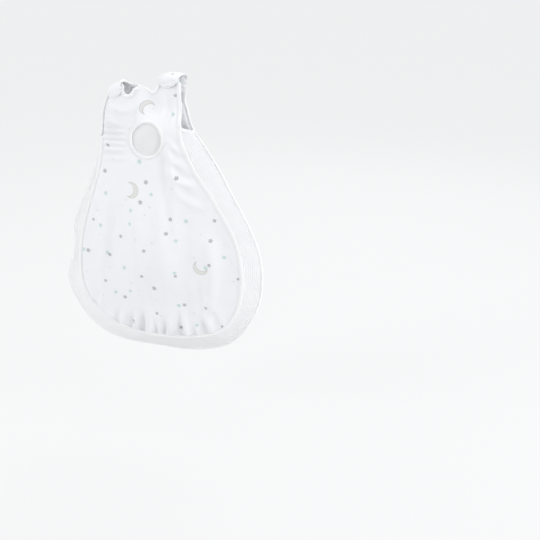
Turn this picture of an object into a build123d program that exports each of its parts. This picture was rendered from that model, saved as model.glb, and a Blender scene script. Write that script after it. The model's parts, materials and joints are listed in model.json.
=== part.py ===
"""Baby sleeping bag, sleeveless, hung up by its right shoulder loop.

A pear-shaped bag: a domed, quilted front panel and a flat, quilted back panel, joined round the
sides and the bottom by a band of breathable spacer mesh.  The front has a round mesh window at the
chest.  Over each shoulder the back strap reaches forward, and a hinged tab at its end snaps onto
the front strap.  A zip in the back panel, beside the left seam, opens the bag.

Millimetres.  +Z is up, the front faces -Y and +X is on the right of someone who faces the front.
Everything is drawn about the bag's centre line and then moved, so that the origin is where the
right shoulder loop rests on a rail: on the loop's underside, in its middle.
"""

from build123d import *
import os
from itertools import pairwise
from math import ceil, exp, hypot, radians, tan, tanh

# ---------------------------------------------------------------- driving dimensions
# Shoulders and neck
STRAP_SPACING = 110.0  # centre to centre of the two straps
STRAP_WIDTH = 43.0
NECK_DEPTH_FRONT = 42.0  # neckline below the right loop
NECK_DEPTH_BACK = 46.0
NECK_CORNER = 16.0  # radius of the necklines' corners

# Loop over each shoulder: depth inside, height of its underside, middle of its depth
RIGHT_LOOP_DEPTH = 30.0
RIGHT_LOOP_TOP = 0.0
RIGHT_LOOP_Y = 0.0
LEFT_LOOP_DEPTH = 21.0
LEFT_LOOP_TOP = -16.0
LEFT_LOOP_Y = -32.5
LOOP_CORNER = 6.0  # inside radius where a back strap turns over the top
LOOP_STRAIGHT = 44.0  # height over which the front straps run straight, below the right loop

# Front panel: half widths and heights of the corners of its outline
ARMHOLE_BASE_Z = -114.0
FRONT_ARMHOLE_HALF = 86.0
FRONT_ARMHOLE_CURVE = 60.0
FRONT_BELLY_HALF = 208.0
FRONT_BELLY_Z = -360.0
FRONT_BELLY_RADIUS = 220.0
FRONT_FOOT_HALF = 176.0
FRONT_FOOT_Z = -577.0
FRONT_FOOT_RADIUS = 135.0

# Back panel, larger all round
BACK_ARMHOLE_HALF = 103.0
BACK_WAIST_HALF = 68.0  # where the armhole is cut in deepest
BACK_WAIST_Z = -43.0
BACK_WAIST_CURVE = 45.0
BACK_BELLY_HALF = 241.0
BACK_BELLY_RADIUS = 240.0
BACK_FOOT_HALF = 205.0
BACK_FOOT_Z = -621.0
BACK_FOOT_RADIUS = 165.0

# Depths.  The back panel's outer face is flat below the armholes
BACK_FACE_Y = -6.0
FRONT_RIM_Y = -43.0  # outer face of the front panel along its seam
BELLY_BULGE = 36.0  # how far the belly domes out beyond that
BELLY_PEAK_Z = -350.0
DOME_HALF = 170.0  # how far the dome spreads sideways, up and down
DOME_ABOVE = 260.0
DOME_BELOW = 210.0

# Cloth
QUILT_T = 4.0
COVER_T = 1.2  # printed cover in front of the wadding
LINING_T = 1.0
MESH_T = 3.0
BAND_LIP = 5.0  # last stretch of the band, straight behind the front seam
SEAM_MARGIN = 10.0  # quilt's edge to the wadding
SEAM_GAP = 0.3  # between pieces that are sewn edge to edge
CORNER_GAP = 2.0  # of straight edge between two rounded corners, at least
LAYER_GAP = 0.2  # between layers that lie on each other
STRAP_TRIM = 0.2  # a folded strap is thinner than the quilt by this on each face
STRAP_ROOT = 6.0  # length of a back strap inside the back panel
BINDING_WIDTH = 6.0
BINDING_PROUD = 1.2  # how far a binding or piping stands out of the cloth it edges
HEM_WIDTH = 4.0
HEM_PROUD = 0.6

# Chest window
WINDOW_X = 9.0  # the bag hangs by its right shoulder, and the window swings that way
WINDOW_Z = -121.0
WINDOW_RING_INNER = 32.5
WINDOW_RING_OUTER = 39.5
WINDOW_MESH_T = 1.6
WINDOW_MESH_DEPTH = 2.0  # outer face of the mesh behind the front panel's
WINDOW_TUCK = 3.7  # width of mesh caught inside the ring

# Shoulder tab, hinged where the back strap ends, in front of the front strap
TAB_T = 4.0
TAB_DROP = 17.0  # length below the loop's underside
TAB_CORNER = 17.0  # radius of its rounded end
FRONT_STRAP_LENGTH = 20.0  # of the front strap's straight end, which the tab covers
LAP_GAP = 0.3  # tab to front strap
FOLD_GAP = 0.4  # tab to back strap, at the hinge

# Press stud, from the inside of the loop outwards
SNAP_DROP = 8.0  # stud's axis below the loop's underside
SNAP_RADIUS = 5.2
SNAP_SEAT_GAP = 0.3  # round each half, in the cloth
SNAP_PINCH = 1.0  # cloth clamped between the two parts of a half
BACKING_T = 0.9
STUD_BASE_T = 1.0
STUD_HEAD_RADIUS = 2.4
STUD_HEAD_H = 1.7
STUD_ROUNDING = 0.5
SOCKET_FACE_GAP = 0.2  # socket's face to the stud's base
SOCKET_PLAY = 0.7  # round the stud's head, so that the tab can swing off it
SOCKET_WALL = 1.6
SOCKET_WEB = 0.6
RIVET_RADIUS = 1.1
RIVET_PLAY = 0.1
RIVET_HEAD_RADIUS = 1.75
RIVET_HEAD_T = 0.4
STUD_RIVET_REACH = 0.9  # of the backing's rivet into the stud's head
CAP_T = 1.4
CAP_CROWN = 0.5

# Zip, along the straight left side of the back panel; its length is the teeth's
ZIP_START = 32.0  # below the armhole's base
ZIP_LENGTH = 184.0
ZIP_INSET = 21.0  # chain's middle to the back panel's edge
ZIP_SLOT_HALF = 6.4  # half width of the slot in the back panel
ZIP_SLOT_END = 6.0  # slot beyond the chain at each end
TAPE_WIDTH = 10.0
TAPE_T = 1.2
TAPE_INNER = 2.0  # tape's edge to the chain's middle
TOOTH_PITCH = 3.6
TOOTH_T = 2.6
TOOTH_ROOT = 3.0  # tooth's foot on the tape, from the chain's middle
TOOTH_REACH = 0.9  # tooth's head past the chain's middle
TOOTH_NECK = 1.0
TOOTH_HEAD = 1.6
TOOTH_HEAD_LENGTH = 1.2
STOP_LENGTH = 3.2
STOP_WIDTH = 3.0
SLIDER_LENGTH = 12.0
SLIDER_HEAD_WIDTH = 10.6
SLIDER_TAIL_WIDTH = 9.0
SLIDER_PLATE = 1.1
SLIDER_FLANGE = 1.1
SLIDER_PLAY = 0.3
WEDGE_START = 0.8  # below the slider's head end
WEDGE_LENGTH = 3.0
WEDGE_WIDTH = 2.0
LUG_LENGTH = 6.4
LUG_WIDTH = 1.4
LUG_BAR = 1.3
LUG_HOLE_HEIGHT = 2.1
PULL_BAR_RADIUS = 0.65
PULL_PLAY = 0.35
PULL_LENGTH = 27.0
PULL_WIDTH = 7.0
PULL_TIP_RADIUS = 3.0
PULL_LEG = 1.5
PULL_WINDOW = 5.0  # length of the opening that the lug stands in

# ---------------------------------------------------------------- derived values
HALF_SPACING = STRAP_SPACING / 2
STRAP_INNER = HALF_SPACING - STRAP_WIDTH / 2
STRAP_OUTER = HALF_SPACING + STRAP_WIDTH / 2
BACK_INNER_Y = BACK_FACE_Y - QUILT_T
BACK_SLOPE = (BACK_ARMHOLE_HALF - BACK_WAIST_HALF) / (BACK_WAIST_Z - ARMHOLE_BASE_Z)
BACK_BELLY_Z = BACK_WAIST_Z - (BACK_BELLY_HALF - BACK_WAIST_HALF) / BACK_SLOPE
FRONT_SLOPE = (FRONT_BELLY_HALF - FRONT_ARMHOLE_HALF) / (ARMHOLE_BASE_Z - FRONT_BELLY_Z)
FRONT_FLAT_Z = RIGHT_LOOP_TOP - LOOP_STRAIGHT
BAND_BACK_Y = BACK_INNER_Y - SEAM_GAP
BAND_LIP_Y = FRONT_RIM_Y + QUILT_T + BAND_LIP
BAND_RUN = hypot(BAND_BACK_Y - BAND_LIP_Y, BACK_BELLY_HALF - FRONT_BELLY_HALF)
BAND_WALL = MESH_T * BAND_RUN / (BAND_BACK_Y - BAND_LIP_Y)  # its wall, measured in the XZ plane
BAND_TOP_Z = ARMHOLE_BASE_Z + 2 * BINDING_WIDTH  # height to which it is drawn
BACK_STRAP_ROOT_Z = 12.0 - NECK_DEPTH_BACK
GRID_STEP = 12.0  # spacing of the points that a domed surface runs through
SHEET_OVERRUN = 20.0  # of the back's surface above the panel
FAR = 300.0  # beyond the bag in any depth
HIGH = 60.0  # above the shoulders


def eased(value):
    """Smooth step: 0 well below 0, 1/2 at 1/2, and 1 well above 1."""
    return (1 + tanh(4 * (value - 0.5))) / 2


def across(left, right, x):
    """A depth that changes between the left strap and the right one."""
    return left + (right - left) * eased((x + STRAP_INNER) / (2 * STRAP_INNER))


# ---------------------------------------------------------------- surfaces of the cloth
def front_y(x, z):
    """Depth of the front panel's outer face."""
    left = LEFT_LOOP_Y - LEFT_LOOP_DEPTH / 2 - QUILT_T
    right = RIGHT_LOOP_Y - RIGHT_LOOP_DEPTH / 2 - QUILT_T
    rise = eased((z - ARMHOLE_BASE_Z) / (FRONT_FLAT_Z - ARMHOLE_BASE_Z))
    base = FRONT_RIM_Y + (across(left, right, x) - FRONT_RIM_Y) * rise
    height = z - BELLY_PEAK_Z
    reach = DOME_BELOW + (DOME_ABOVE - DOME_BELOW) * eased((height + DOME_HALF) / (2 * DOME_HALF))
    return base - BELLY_BULGE * exp(-2 * ((x / DOME_HALF) ** 2 + (height / reach) ** 2))


def back_y(x, z):
    """Depth of the back panel's outer face: flat, then bent towards each strap's loop."""
    left = LEFT_LOOP_Y + LEFT_LOOP_DEPTH / 2 + QUILT_T
    right = RIGHT_LOOP_Y + RIGHT_LOOP_DEPTH / 2 + QUILT_T
    rise = eased((z - ARMHOLE_BASE_Z) / (-NECK_DEPTH_BACK - ARMHOLE_BASE_Z))
    return BACK_FACE_Y + (across(left, right, x) - BACK_FACE_Y) * rise


def surface(depth, half_width, z_low, z_high):
    """Face through depth(x, z) over a rectangle."""
    columns = ceil(2 * half_width / GRID_STEP)
    rows = ceil((z_high - z_low) / GRID_STEP)
    grid = []
    for i in range(columns + 1):
        x = -half_width + 2 * half_width * i / columns
        heights = [z_low + (z_high - z_low) * j / rows for j in range(rows + 1)]
        grid.append([Vector(x, depth(x, z), z) for z in heights])
    return Face.make_surface_from_array_of_points(grid)


def prism(outline, y_front=-FAR, y_back=FAR):
    """Solid that stands on an outline drawn in X and Z."""
    return extrude(Plane.XZ.offset(-y_back) * outline, y_back - y_front)


def front_layer(outline, outer, inner):
    """Layer of the front from one depth behind its outer face to another."""
    skin = FRONT_SURFACE.moved(Location((0, outer, 0)))
    return extrude(skin, inner - outer, dir=(0, 1, 0)) & prism(outline)


def back_layer(outline, outer, inner):
    """Layer of the back from one depth inside its outer face to another."""
    skin = BACK_SURFACE.moved(Location((0, -outer, 0)))
    return extrude(skin, inner - outer, dir=(0, -1, 0)) & prism(outline)


def flat_back_layer(outline, outer, inner):
    """The same, for what lies below the armholes, where the back is flat."""
    return prism(outline, BACK_FACE_Y - inner, BACK_FACE_Y - outer)


# ---------------------------------------------------------------- outlines, in X and Z
def window(x_low, x_high, z_low, z_high):
    """Plain rectangle between four limits."""
    size = Rectangle(x_high - x_low, z_high - z_low)
    return Pos((x_low + x_high) / 2, (z_low + z_high) / 2) * size


def mirrored(points):
    """The points in reverse order on the left side."""
    return [(-x, z) for x, z in reversed(points)]


def neckline(depth, top):
    """Opening between the straps down to the neckline."""
    opening = window(-STRAP_INNER, STRAP_INNER, -depth, top)
    return fillet(opening.vertices().group_by(Axis.Y)[0], NECK_CORNER)


def rounded_side(half, radii):
    """Line through the points of the right side and their mirror image, with rounded corners.

    Two corners that would meet on the edge between them share its length.
    """
    points = [*half, *mirrored(half)]
    radii = radii + radii[::-1]
    edges = [Vector(*end) - Vector(*start) for start, end in pairwise(points)]
    reach = [
        radius * tan(radians(before.get_angle(after)) / 2)
        for radius, (before, after) in zip(radii, pairwise(edges))
    ]
    shares = [
        min(1, (edge.length - CORNER_GAP) / (first + second))
        for edge, (first, second) in zip(edges[1:], pairwise(reach))
    ]
    fitted = [radius * min(pair) for radius, pair in zip(radii, pairwise([1, *shares, 1]))]
    return FilletPolyline(*points, radius=fitted)


def front_outline():
    """The front panel with both straps."""
    half = [
        (STRAP_OUTER, HIGH),
        (FRONT_ARMHOLE_HALF, ARMHOLE_BASE_Z),
        (FRONT_BELLY_HALF, FRONT_BELLY_Z),
        (FRONT_FOOT_HALF, FRONT_FOOT_Z),
    ]
    radii = [FRONT_ARMHOLE_CURVE, FRONT_BELLY_RADIUS, FRONT_FOOT_RADIUS]
    side = rounded_side(half, radii)
    whole = make_face(Wire([*side.edges(), Line(side @ 1, side @ 0)]))
    whole -= neckline(NECK_DEPTH_FRONT, HIGH)
    whole -= window(STRAP_INNER, FAR, RIGHT_LOOP_TOP - FRONT_STRAP_LENGTH, HIGH + 1)
    return whole - window(-FAR, -STRAP_INNER, LEFT_LOOP_TOP - FRONT_STRAP_LENGTH, HIGH + 1)


def back_outline():
    """The back panel up to the roots of its straps."""
    half = [
        (STRAP_OUTER, BACK_WAIST_Z + STRAP_WIDTH),
        (BACK_WAIST_HALF, BACK_WAIST_Z),
        (BACK_BELLY_HALF, BACK_BELLY_Z),
        (BACK_FOOT_HALF, BACK_FOOT_Z),
    ]
    radii = [BACK_WAIST_CURVE, BACK_BELLY_RADIUS, BACK_FOOT_RADIUS]
    side = rounded_side(half, radii)
    whole = make_face(Wire([*side.edges(), Line(side @ 1, side @ 0)]))
    whole -= neckline(NECK_DEPTH_BACK, HIGH)
    return whole - window(-FAR, FAR, BACK_STRAP_ROOT_Z, HIGH)


def band_outline(slope, belly, foot):
    """Closed outline for the mesh band, whose straight sides run on above the armholes."""
    (belly_half, belly_z, belly_radius), (foot_half, foot_z, foot_radius) = belly, foot
    top_half = belly_half - slope * (BAND_TOP_Z - belly_z)
    half = [(top_half, BAND_TOP_Z), (belly_half, belly_z), (foot_half, foot_z)]
    radii = [belly_radius, foot_radius]
    side = rounded_side(half, radii)
    return make_face(Wire([*side.edges(), Line(side @ 1, side @ 0)]))


def edge_strip(outline, width):
    """Strip of an outline along its edge."""
    return outline - offset(outline, -width)


# ---------------------------------------------------------------- zip's own frame
# x runs down the chain from the closed slider's head, y towards the back panel's edge, z outwards
ZIP_SLANT = Vector(-BACK_SLOPE, 0, -1).normalized()
ZIP_OUTWARD = Vector(0, 1, 0).cross(ZIP_SLANT)
ZIP_ORIGIN = (
    Vector(-BACK_ARMHOLE_HALF, BACK_FACE_Y - QUILT_T / 2, ARMHOLE_BASE_Z)
    + ZIP_SLANT * ZIP_START
    - ZIP_OUTWARD * ZIP_INSET
)
ZIP_FRAME = Plane(origin=ZIP_ORIGIN, x_dir=ZIP_SLANT, z_dir=(0, 1, 0))


def block(x_low, x_high, y_low, y_high, z_low, z_high):
    """Box between six limits."""
    size = Box(x_high - x_low, y_high - y_low, z_high - z_low)
    return Pos((x_low + x_high) / 2, (y_low + y_high) / 2, (z_low + z_high) / 2) * size


def zip_space(half_width, half_thickness, overrun):
    """Space round the chain, in the bag's frame."""
    space = block(
        -overrun, ZIP_LENGTH + overrun, -half_width, half_width, -half_thickness, half_thickness
    )
    return ZIP_FRAME * space


# ---------------------------------------------------------------- body of the bag
def make_front_panel():
    """Quilted front with both straps: printed cover, thick at its edges, hollow for the wadding."""
    strips = edge_strip(FRONT, BINDING_WIDTH + SEAM_GAP) - FRONT_STRAP_ROOTS
    outline = FRONT - strips - WINDOW_HOLE
    panel = front_layer(outline, 0, QUILT_T)
    panel -= front_layer(FRONT_FILL, COVER_T, QUILT_T + 1)
    for middle, loop_y, depth, top in LOOPS:
        panel += front_strap(middle, loop_y, depth, top)
    return panel


def make_back_panel():
    """Quilted back, with a slot for the zip and a strap that turns forward over each shoulder."""
    strips = edge_strip(BACK, BINDING_WIDTH + SEAM_GAP) - BACK_STRAP_ROOTS
    outline = BACK - strips
    panel = back_layer(outline, 0, QUILT_T)
    margin = TAPE_INNER + TAPE_WIDTH + SEAM_MARGIN / 2
    hollow = flat_back_layer(BACK_FILL, COVER_T, QUILT_T + 1)
    panel -= hollow - zip_space(margin, 2 * QUILT_T, SEAM_MARGIN)
    panel -= zip_space(ZIP_SLOT_HALF, QUILT_T, ZIP_SLOT_END)
    tape_half = TAPE_INNER + TAPE_WIDTH + SEAM_GAP
    panel -= zip_space(tape_half, TAPE_T / 2 + LAYER_GAP, ZIP_SLOT_END + SEAM_GAP)
    for middle, loop_y, depth, top in LOOPS:
        panel += back_strap(middle, loop_y, depth, top)
    return panel


def front_strap(middle, loop_y, depth, top):
    """Straight strap on the front of a loop, under the tab."""
    half = STRAP_WIDTH / 2 - STRAP_TRIM
    low = top - FRONT_STRAP_LENGTH - STRAP_ROOT
    front = loop_y - depth / 2 - QUILT_T
    outline = window(middle - half, middle + half, low, top - SEAM_GAP)
    return prism(outline, front + STRAP_TRIM, front + QUILT_T - STRAP_TRIM)


def back_strap(middle, loop_y, depth, top):
    """Strap from the back panel's top, up behind the rail and over it to the tab's hinge."""
    half = QUILT_T / 2
    back = loop_y + depth / 2 + half
    end = hinge_y(loop_y, depth) + half + FOLD_GAP
    route = FilletPolyline(
        (back, BACK_STRAP_ROOT_Z - STRAP_ROOT), (back, top + half), (end, top + half),
        radius=[LOOP_CORNER + half],
    )
    profile = trace(route, line_width=QUILT_T - 2 * STRAP_TRIM)
    width = STRAP_WIDTH - 2 * STRAP_TRIM
    return extrude(Plane.YZ.offset(middle - width / 2) * profile, width)


def make_fillings():
    """Wadding of both panels and the linings that close them on the inside."""
    fill = offset(FRONT_FILL, -LAYER_GAP)
    front = front_layer(fill, COVER_T + LAYER_GAP, QUILT_T - LAYER_GAP)
    fill = offset(BACK_FILL, -LAYER_GAP)
    back = flat_back_layer(fill, COVER_T + LAYER_GAP, QUILT_T - LAYER_GAP)
    margin = TAPE_INNER + TAPE_WIDTH + SEAM_MARGIN / 2 + LAYER_GAP
    return front, back - zip_space(margin, 2 * QUILT_T, SEAM_MARGIN + LAYER_GAP)


def make_linings():
    """Linings, which stop short of the side band and round the window and the zip."""
    depth = QUILT_T + LAYER_GAP
    area = offset(FRONT & BODY, -LINING_INSET) - Pos(WINDOW_X, WINDOW_Z) * Circle(LINING_WINDOW)
    front = front_layer(area, depth, depth + LINING_T)
    area = offset(BACK & BELOW_ARMHOLES, -LINING_INSET)
    back = flat_back_layer(area, depth, depth + LINING_T)
    back -= zip_space(SLIDER_HEAD_WIDTH / 2 + 1, 2 * QUILT_T, ZIP_SLOT_END)
    return front, back


def band_shell():
    """The band before its top is cut: it slopes forward and inward, then follows the front seam."""
    outer = band_outline(
        BACK_SLOPE,
        (BACK_BELLY_HALF, BACK_BELLY_Z, BACK_BELLY_RADIUS),
        (BACK_FOOT_HALF, BACK_FOOT_Z, BACK_FOOT_RADIUS),
    )
    inner = band_outline(
        FRONT_SLOPE,
        (FRONT_BELLY_HALF, FRONT_BELLY_Z, FRONT_BELLY_RADIUS),
        (FRONT_FOOT_HALF, FRONT_FOOT_Z, FRONT_FOOT_RADIUS),
    )
    rear = Plane.XZ.offset(-BAND_BACK_Y)
    lip = Plane.XZ.offset(-BAND_LIP_Y)
    shell = loft([rear * outer, lip * inner], ruled=True)
    shell -= loft([rear * offset(outer, -BAND_WALL), lip * offset(inner, -BAND_WALL)], ruled=True)
    rim = inner - offset(inner, -BAND_WALL)
    shell += prism(rim, FRONT_RIM_Y - BELLY_BULGE, BAND_LIP_Y)
    skin = FRONT_SURFACE.moved(Location((0, -BELLY_BULGE, 0)))
    return shell - extrude(skin, BELLY_BULGE + QUILT_T + SEAM_GAP, dir=(0, 1, 0))


def make_band_and_armholes():
    """The mesh band, and the two bindings that run round the armholes and over its ends."""
    shell = band_shell()
    band = shell & prism(window(-FAR, FAR, -3 * FAR, ARMHOLE_BASE_Z - SEAM_GAP))
    bindings = []
    for zone, side in ((RIGHT_ARMHOLE_ZONE, 1), (LEFT_ARMHOLE_ZONE, -1)):
        front = bound_front((FRONT_EDGE & zone) - FRONT_STRAP_ROOTS)
        back = bound_back(BACK_EDGE & zone & BELOW_BACK_STRAPS)
        bridge = window(0, FAR, ARMHOLE_BASE_Z, ARMHOLE_BASE_Z + BINDING_WIDTH)
        if side < 0:
            bridge = mirror(bridge, about=Plane.YZ)
        bindings.append(front + (shell & prism(bridge)) + back)
    return band, bindings


def bound_front(strip):
    """Binding or piping on an edge of the front."""
    return front_layer(strip, -BINDING_PROUD, QUILT_T + BINDING_PROUD)


def bound_back(strip):
    """Binding on an edge of the back."""
    return back_layer(strip, -BINDING_PROUD, QUILT_T + BINDING_PROUD)


def make_chest_window():
    """Ring that binds the window, and the mesh caught in it."""
    centre = Pos(WINDOW_X, WINDOW_Z)
    ring = centre * (Circle(WINDOW_RING_OUTER) - Circle(WINDOW_RING_INNER))
    ring = front_layer(ring, -BINDING_PROUD, QUILT_T + BINDING_PROUD)
    tuck = WINDOW_RING_INNER + WINDOW_TUCK
    groove = front_layer(
        centre * Circle(tuck + LAYER_GAP),
        WINDOW_MESH_DEPTH - LAYER_GAP,
        WINDOW_MESH_DEPTH + WINDOW_MESH_T + LAYER_GAP,
    )
    mesh = front_layer(centre * Circle(tuck), WINDOW_MESH_DEPTH, WINDOW_MESH_DEPTH + WINDOW_MESH_T)
    return ring - groove, mesh


# ---------------------------------------------------------------- shoulder tab and press stud
def hinge_y(loop_y, depth):
    """Depth of the tab's hinge, and of the middle of its cloth."""
    return loop_y - depth / 2 - QUILT_T - LAP_GAP - TAB_T / 2


def make_tab(middle, loop_y, depth, top):
    """Rounded end of the shoulder strap, which laps over the front strap."""
    hinge = hinge_y(loop_y, depth)
    half = STRAP_WIDTH / 2 - STRAP_TRIM
    outline = window(-half, half, -TAB_DROP, QUILT_T / 2)
    outline = fillet(outline.vertices().group_by(Axis.Y)[0], TAB_CORNER)
    tab = prism(Pos(middle, top) * outline, hinge - TAB_T / 2, hinge + TAB_T / 2)
    roll = Cylinder(TAB_T / 2, 2 * half, rotation=(0, 90, 0))
    return tab + Pos(middle, hinge, top + QUILT_T / 2) * roll


def snap_frame(middle, loop_y, depth, top):
    """Plane on the loop's inner face at the stud's axis, with z outwards to the front."""
    origin = (middle, loop_y - depth / 2, top - SNAP_DROP)
    return Plane(origin=origin, x_dir=(1, 0, 0), z_dir=(0, -1, 0))


def disc(radius, low, high):
    """Cylinder on the stud's axis between two distances along it."""
    return Pos(0, 0, (low + high) / 2) * Cylinder(radius, high - low)


def make_snap_pockets():
    """What both halves take out of the front strap and of the tab."""
    seat = SNAP_RADIUS + SNAP_SEAT_GAP
    hole = RIVET_RADIUS + RIVET_PLAY
    strap = disc(seat, -1, BACKING_T) + disc(seat, STUD_SEAT, QUILT_T + 1) + disc(hole, 0, QUILT_T)
    tab = disc(seat, TAB_INNER - 1, SOCKET_SEAT) + disc(seat, CAP_SEAT, TAB_OUTER + 1)
    return strap, tab + disc(hole, TAB_INNER, TAB_OUTER)


def make_snap():
    """Backing and stud on the front strap, socket and cap on the tab."""
    base_top = STUD_SEAT + STUD_BASE_T
    head_top = base_top + STUD_HEAD_H
    hole = RIVET_RADIUS + RIVET_PLAY
    stud = disc(SNAP_RADIUS, STUD_SEAT, base_top)
    head = disc(STUD_HEAD_RADIUS, base_top, head_top)
    stud += fillet(head.edges().group_by(Axis.Z)[-1], STUD_ROUNDING)
    stud -= disc(hole, STUD_SEAT - 1, base_top + STUD_RIVET_REACH + RIVET_PLAY)
    backing = disc(SNAP_RADIUS, 0, BACKING_T)
    backing += disc(RIVET_RADIUS, BACKING_T, base_top + STUD_RIVET_REACH)

    face = base_top + SOCKET_FACE_GAP
    bore = STUD_HEAD_RADIUS + SOCKET_PLAY
    socket = disc(bore + SOCKET_WALL, face, SOCKET_SEAT)
    socket -= disc(bore, face - 1, SOCKET_SEAT - SOCKET_WEB)
    socket -= disc(hole, face, SOCKET_SEAT + 1)
    cap = disc(SNAP_RADIUS, CAP_SEAT, TAB_OUTER)
    crown = Cone(SNAP_RADIUS, SNAP_RADIUS - 2 * CAP_CROWN, CAP_CROWN)
    cap += Pos(0, 0, TAB_OUTER + CAP_CROWN / 2) * crown
    rivet_end = SOCKET_SEAT - SOCKET_WEB - RIVET_PLAY
    cap += disc(RIVET_RADIUS, rivet_end, CAP_SEAT)
    cap += disc(RIVET_HEAD_RADIUS, rivet_end - RIVET_HEAD_T, rivet_end)
    return backing, stud, socket, cap


# ---------------------------------------------------------------- zip, in its own frame
def make_tooth():
    """Tooth on the +y side at x = 0: neck from the tape, head past the chain's middle."""
    head_end = TOOTH_HEAD_LENGTH - TOOTH_REACH
    neck = Pos(0, (head_end + TOOTH_ROOT) / 2) * Rectangle(TOOTH_NECK, TOOTH_ROOT - head_end)
    head = Pos(0, (head_end - TOOTH_REACH) / 2) * Rectangle(TOOTH_HEAD, TOOTH_HEAD_LENGTH)
    return Pos(0, 0, -TOOTH_T / 2) * extrude(neck + head, TOOTH_T)


def make_stringer(side):
    """Tape with its row of teeth; the rows sit half a pitch apart and mesh."""
    start = WEDGE_START + WEDGE_LENGTH + SLIDER_PLAY + TOOTH_HEAD / 2
    if side < 0:
        start += TOOTH_PITCH / 2
    count = int((ZIP_LENGTH - TOOTH_HEAD / 2 - SLIDER_PLAY - start) / TOOTH_PITCH) + 1
    tooth = make_tooth()
    row = [Pos(start + i * TOOTH_PITCH, 0, 0) * tooth for i in range(count)]
    end = ZIP_SLOT_END
    tape = block(
        -end, ZIP_LENGTH + end, TAPE_INNER, TAPE_INNER + TAPE_WIDTH, -TAPE_T / 2, TAPE_T / 2
    )
    stringer = tape.fuse(*row)
    return stringer if side > 0 else mirror(stringer, about=Plane.XZ)


def make_zip_stops():
    """Two top stops and one bottom stop, clamped over the tapes' edges."""
    slot = TAPE_T / 2 + RIVET_PLAY
    outer = TAPE_INNER + STOP_WIDTH - SLIDER_PLAY
    inner = SLIDER_PLAY / 2
    half = TOOTH_T / 2
    tapes = block(-FAR, FAR, TAPE_INNER - RIVET_PLAY, FAR, -slot, slot)
    tapes += block(-FAR, FAR, -FAR, RIVET_PLAY - TAPE_INNER, -slot, slot)
    high = -SLIDER_PLAY
    low = ZIP_LENGTH
    stops = [
        block(high - STOP_LENGTH, high, inner, outer, -half, half) - tapes,
        block(high - STOP_LENGTH, high, -outer, -inner, -half, half) - tapes,
        block(low, low + STOP_LENGTH, -outer, outer, -half, half) - tapes,
    ]
    return Compound([solid for stop in stops for solid in stop.solids()])


def make_zip_slider():
    """Slider: two plates with flanges and slots for the tapes, a wedge between them, and a lug."""
    tail = SLIDER_TAIL_WIDTH / 2
    head = SLIDER_HEAD_WIDTH / 2
    middle = SLIDER_LENGTH / 2
    shape = make_face(Polyline(
        (0, -head), (middle, -head), (SLIDER_LENGTH, -tail),
        (SLIDER_LENGTH, tail), (middle, head), (0, head), close=True,
    ))
    body = Pos(0, 0, -PLATE_TOP) * extrude(shape, 2 * PLATE_TOP)
    channel = PLATE_TOP - SLIDER_PLATE
    inside = SLIDER_TAIL_WIDTH / 2 - SLIDER_FLANGE
    slot = TAPE_T / 2 + SLIDER_PLAY
    body -= block(-1, SLIDER_LENGTH + 1, -inside, inside, -channel, channel)
    body -= block(-1, SLIDER_LENGTH + 1, -FAR, FAR, -slot, slot)
    tip = WEDGE_START + WEDGE_LENGTH
    widest = WEDGE_START + WEDGE_LENGTH / 3
    wedge = make_face(Polyline(
        (WEDGE_START, 0), (widest, -WEDGE_WIDTH / 2), (tip, 0), (widest, WEDGE_WIDTH / 2),
        close=True,
    ))
    body += Pos(0, 0, -channel) * extrude(wedge, 2 * channel)
    return body + make_lug()


def make_lug():
    """Arch on the slider's outer plate, which holds the pull's bar."""
    arch = window(-LUG_LENGTH / 2, LUG_LENGTH / 2, 0, LUG_HOLE_HEIGHT + LUG_BAR)
    arch = fillet(arch.vertices().group_by(Axis.Y)[-1], LUG_BAR)
    side = LUG_LENGTH / 2 - LUG_BAR
    arch -= window(-side, side, 0, LUG_HOLE_HEIGHT)
    lug = extrude(Plane.XZ.offset(-LUG_WIDTH / 2) * arch, LUG_WIDTH)
    return Pos(SLIDER_LENGTH / 2, 0, PLATE_TOP) * lug


def make_zip_pull():
    """Pull tab that hangs on the lug: bar, window for the lug, and a rounded blade."""
    half = PULL_WIDTH / 2
    blade = window(0, PULL_LENGTH, -half, half)
    blade = fillet(blade.vertices().group_by(Axis.X)[-1], PULL_TIP_RADIUS)
    reach = PULL_BAR_RADIUS + PULL_WINDOW
    blade -= window(-1, reach, -PULL_WINDOW_HALF, PULL_WINDOW_HALF)
    pull = Pos(0, 0, -PULL_BAR_RADIUS) * extrude(blade, 2 * PULL_BAR_RADIUS)
    pull += Cylinder(PULL_BAR_RADIUS, PULL_WIDTH, rotation=(90, 0, 0))
    return Pos(SLIDER_LENGTH / 2, 0, PULL_AXIS_HEIGHT) * pull


# ---------------------------------------------------------------- sizes shared by the pieces
LOOPS = (
    (HALF_SPACING, RIGHT_LOOP_Y, RIGHT_LOOP_DEPTH, RIGHT_LOOP_TOP),
    (-HALF_SPACING, LEFT_LOOP_Y, LEFT_LOOP_DEPTH, LEFT_LOOP_TOP),
)
STUD_SEAT = BACKING_T + SNAP_PINCH
TAB_INNER = QUILT_T + LAP_GAP
TAB_OUTER = TAB_INNER + TAB_T
CAP_SEAT = TAB_OUTER - CAP_T
SOCKET_SEAT = CAP_SEAT - SNAP_PINCH
PLATE_TOP = TOOTH_T / 2 + SLIDER_PLAY + SLIDER_PLATE
PULL_AXIS_HEIGHT = PLATE_TOP + PULL_PLAY + PULL_BAR_RADIUS
PULL_WINDOW_HALF = PULL_WIDTH / 2 - PULL_LEG
LINING_INSET = BAND_WALL + SEAM_MARGIN / 2
LINING_WINDOW = WINDOW_RING_OUTER + 2 * SEAM_GAP
FILL_INSET = BINDING_WIDTH + SEAM_MARGIN
FILL_WINDOW = WINDOW_RING_OUTER + SEAM_MARGIN

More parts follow.
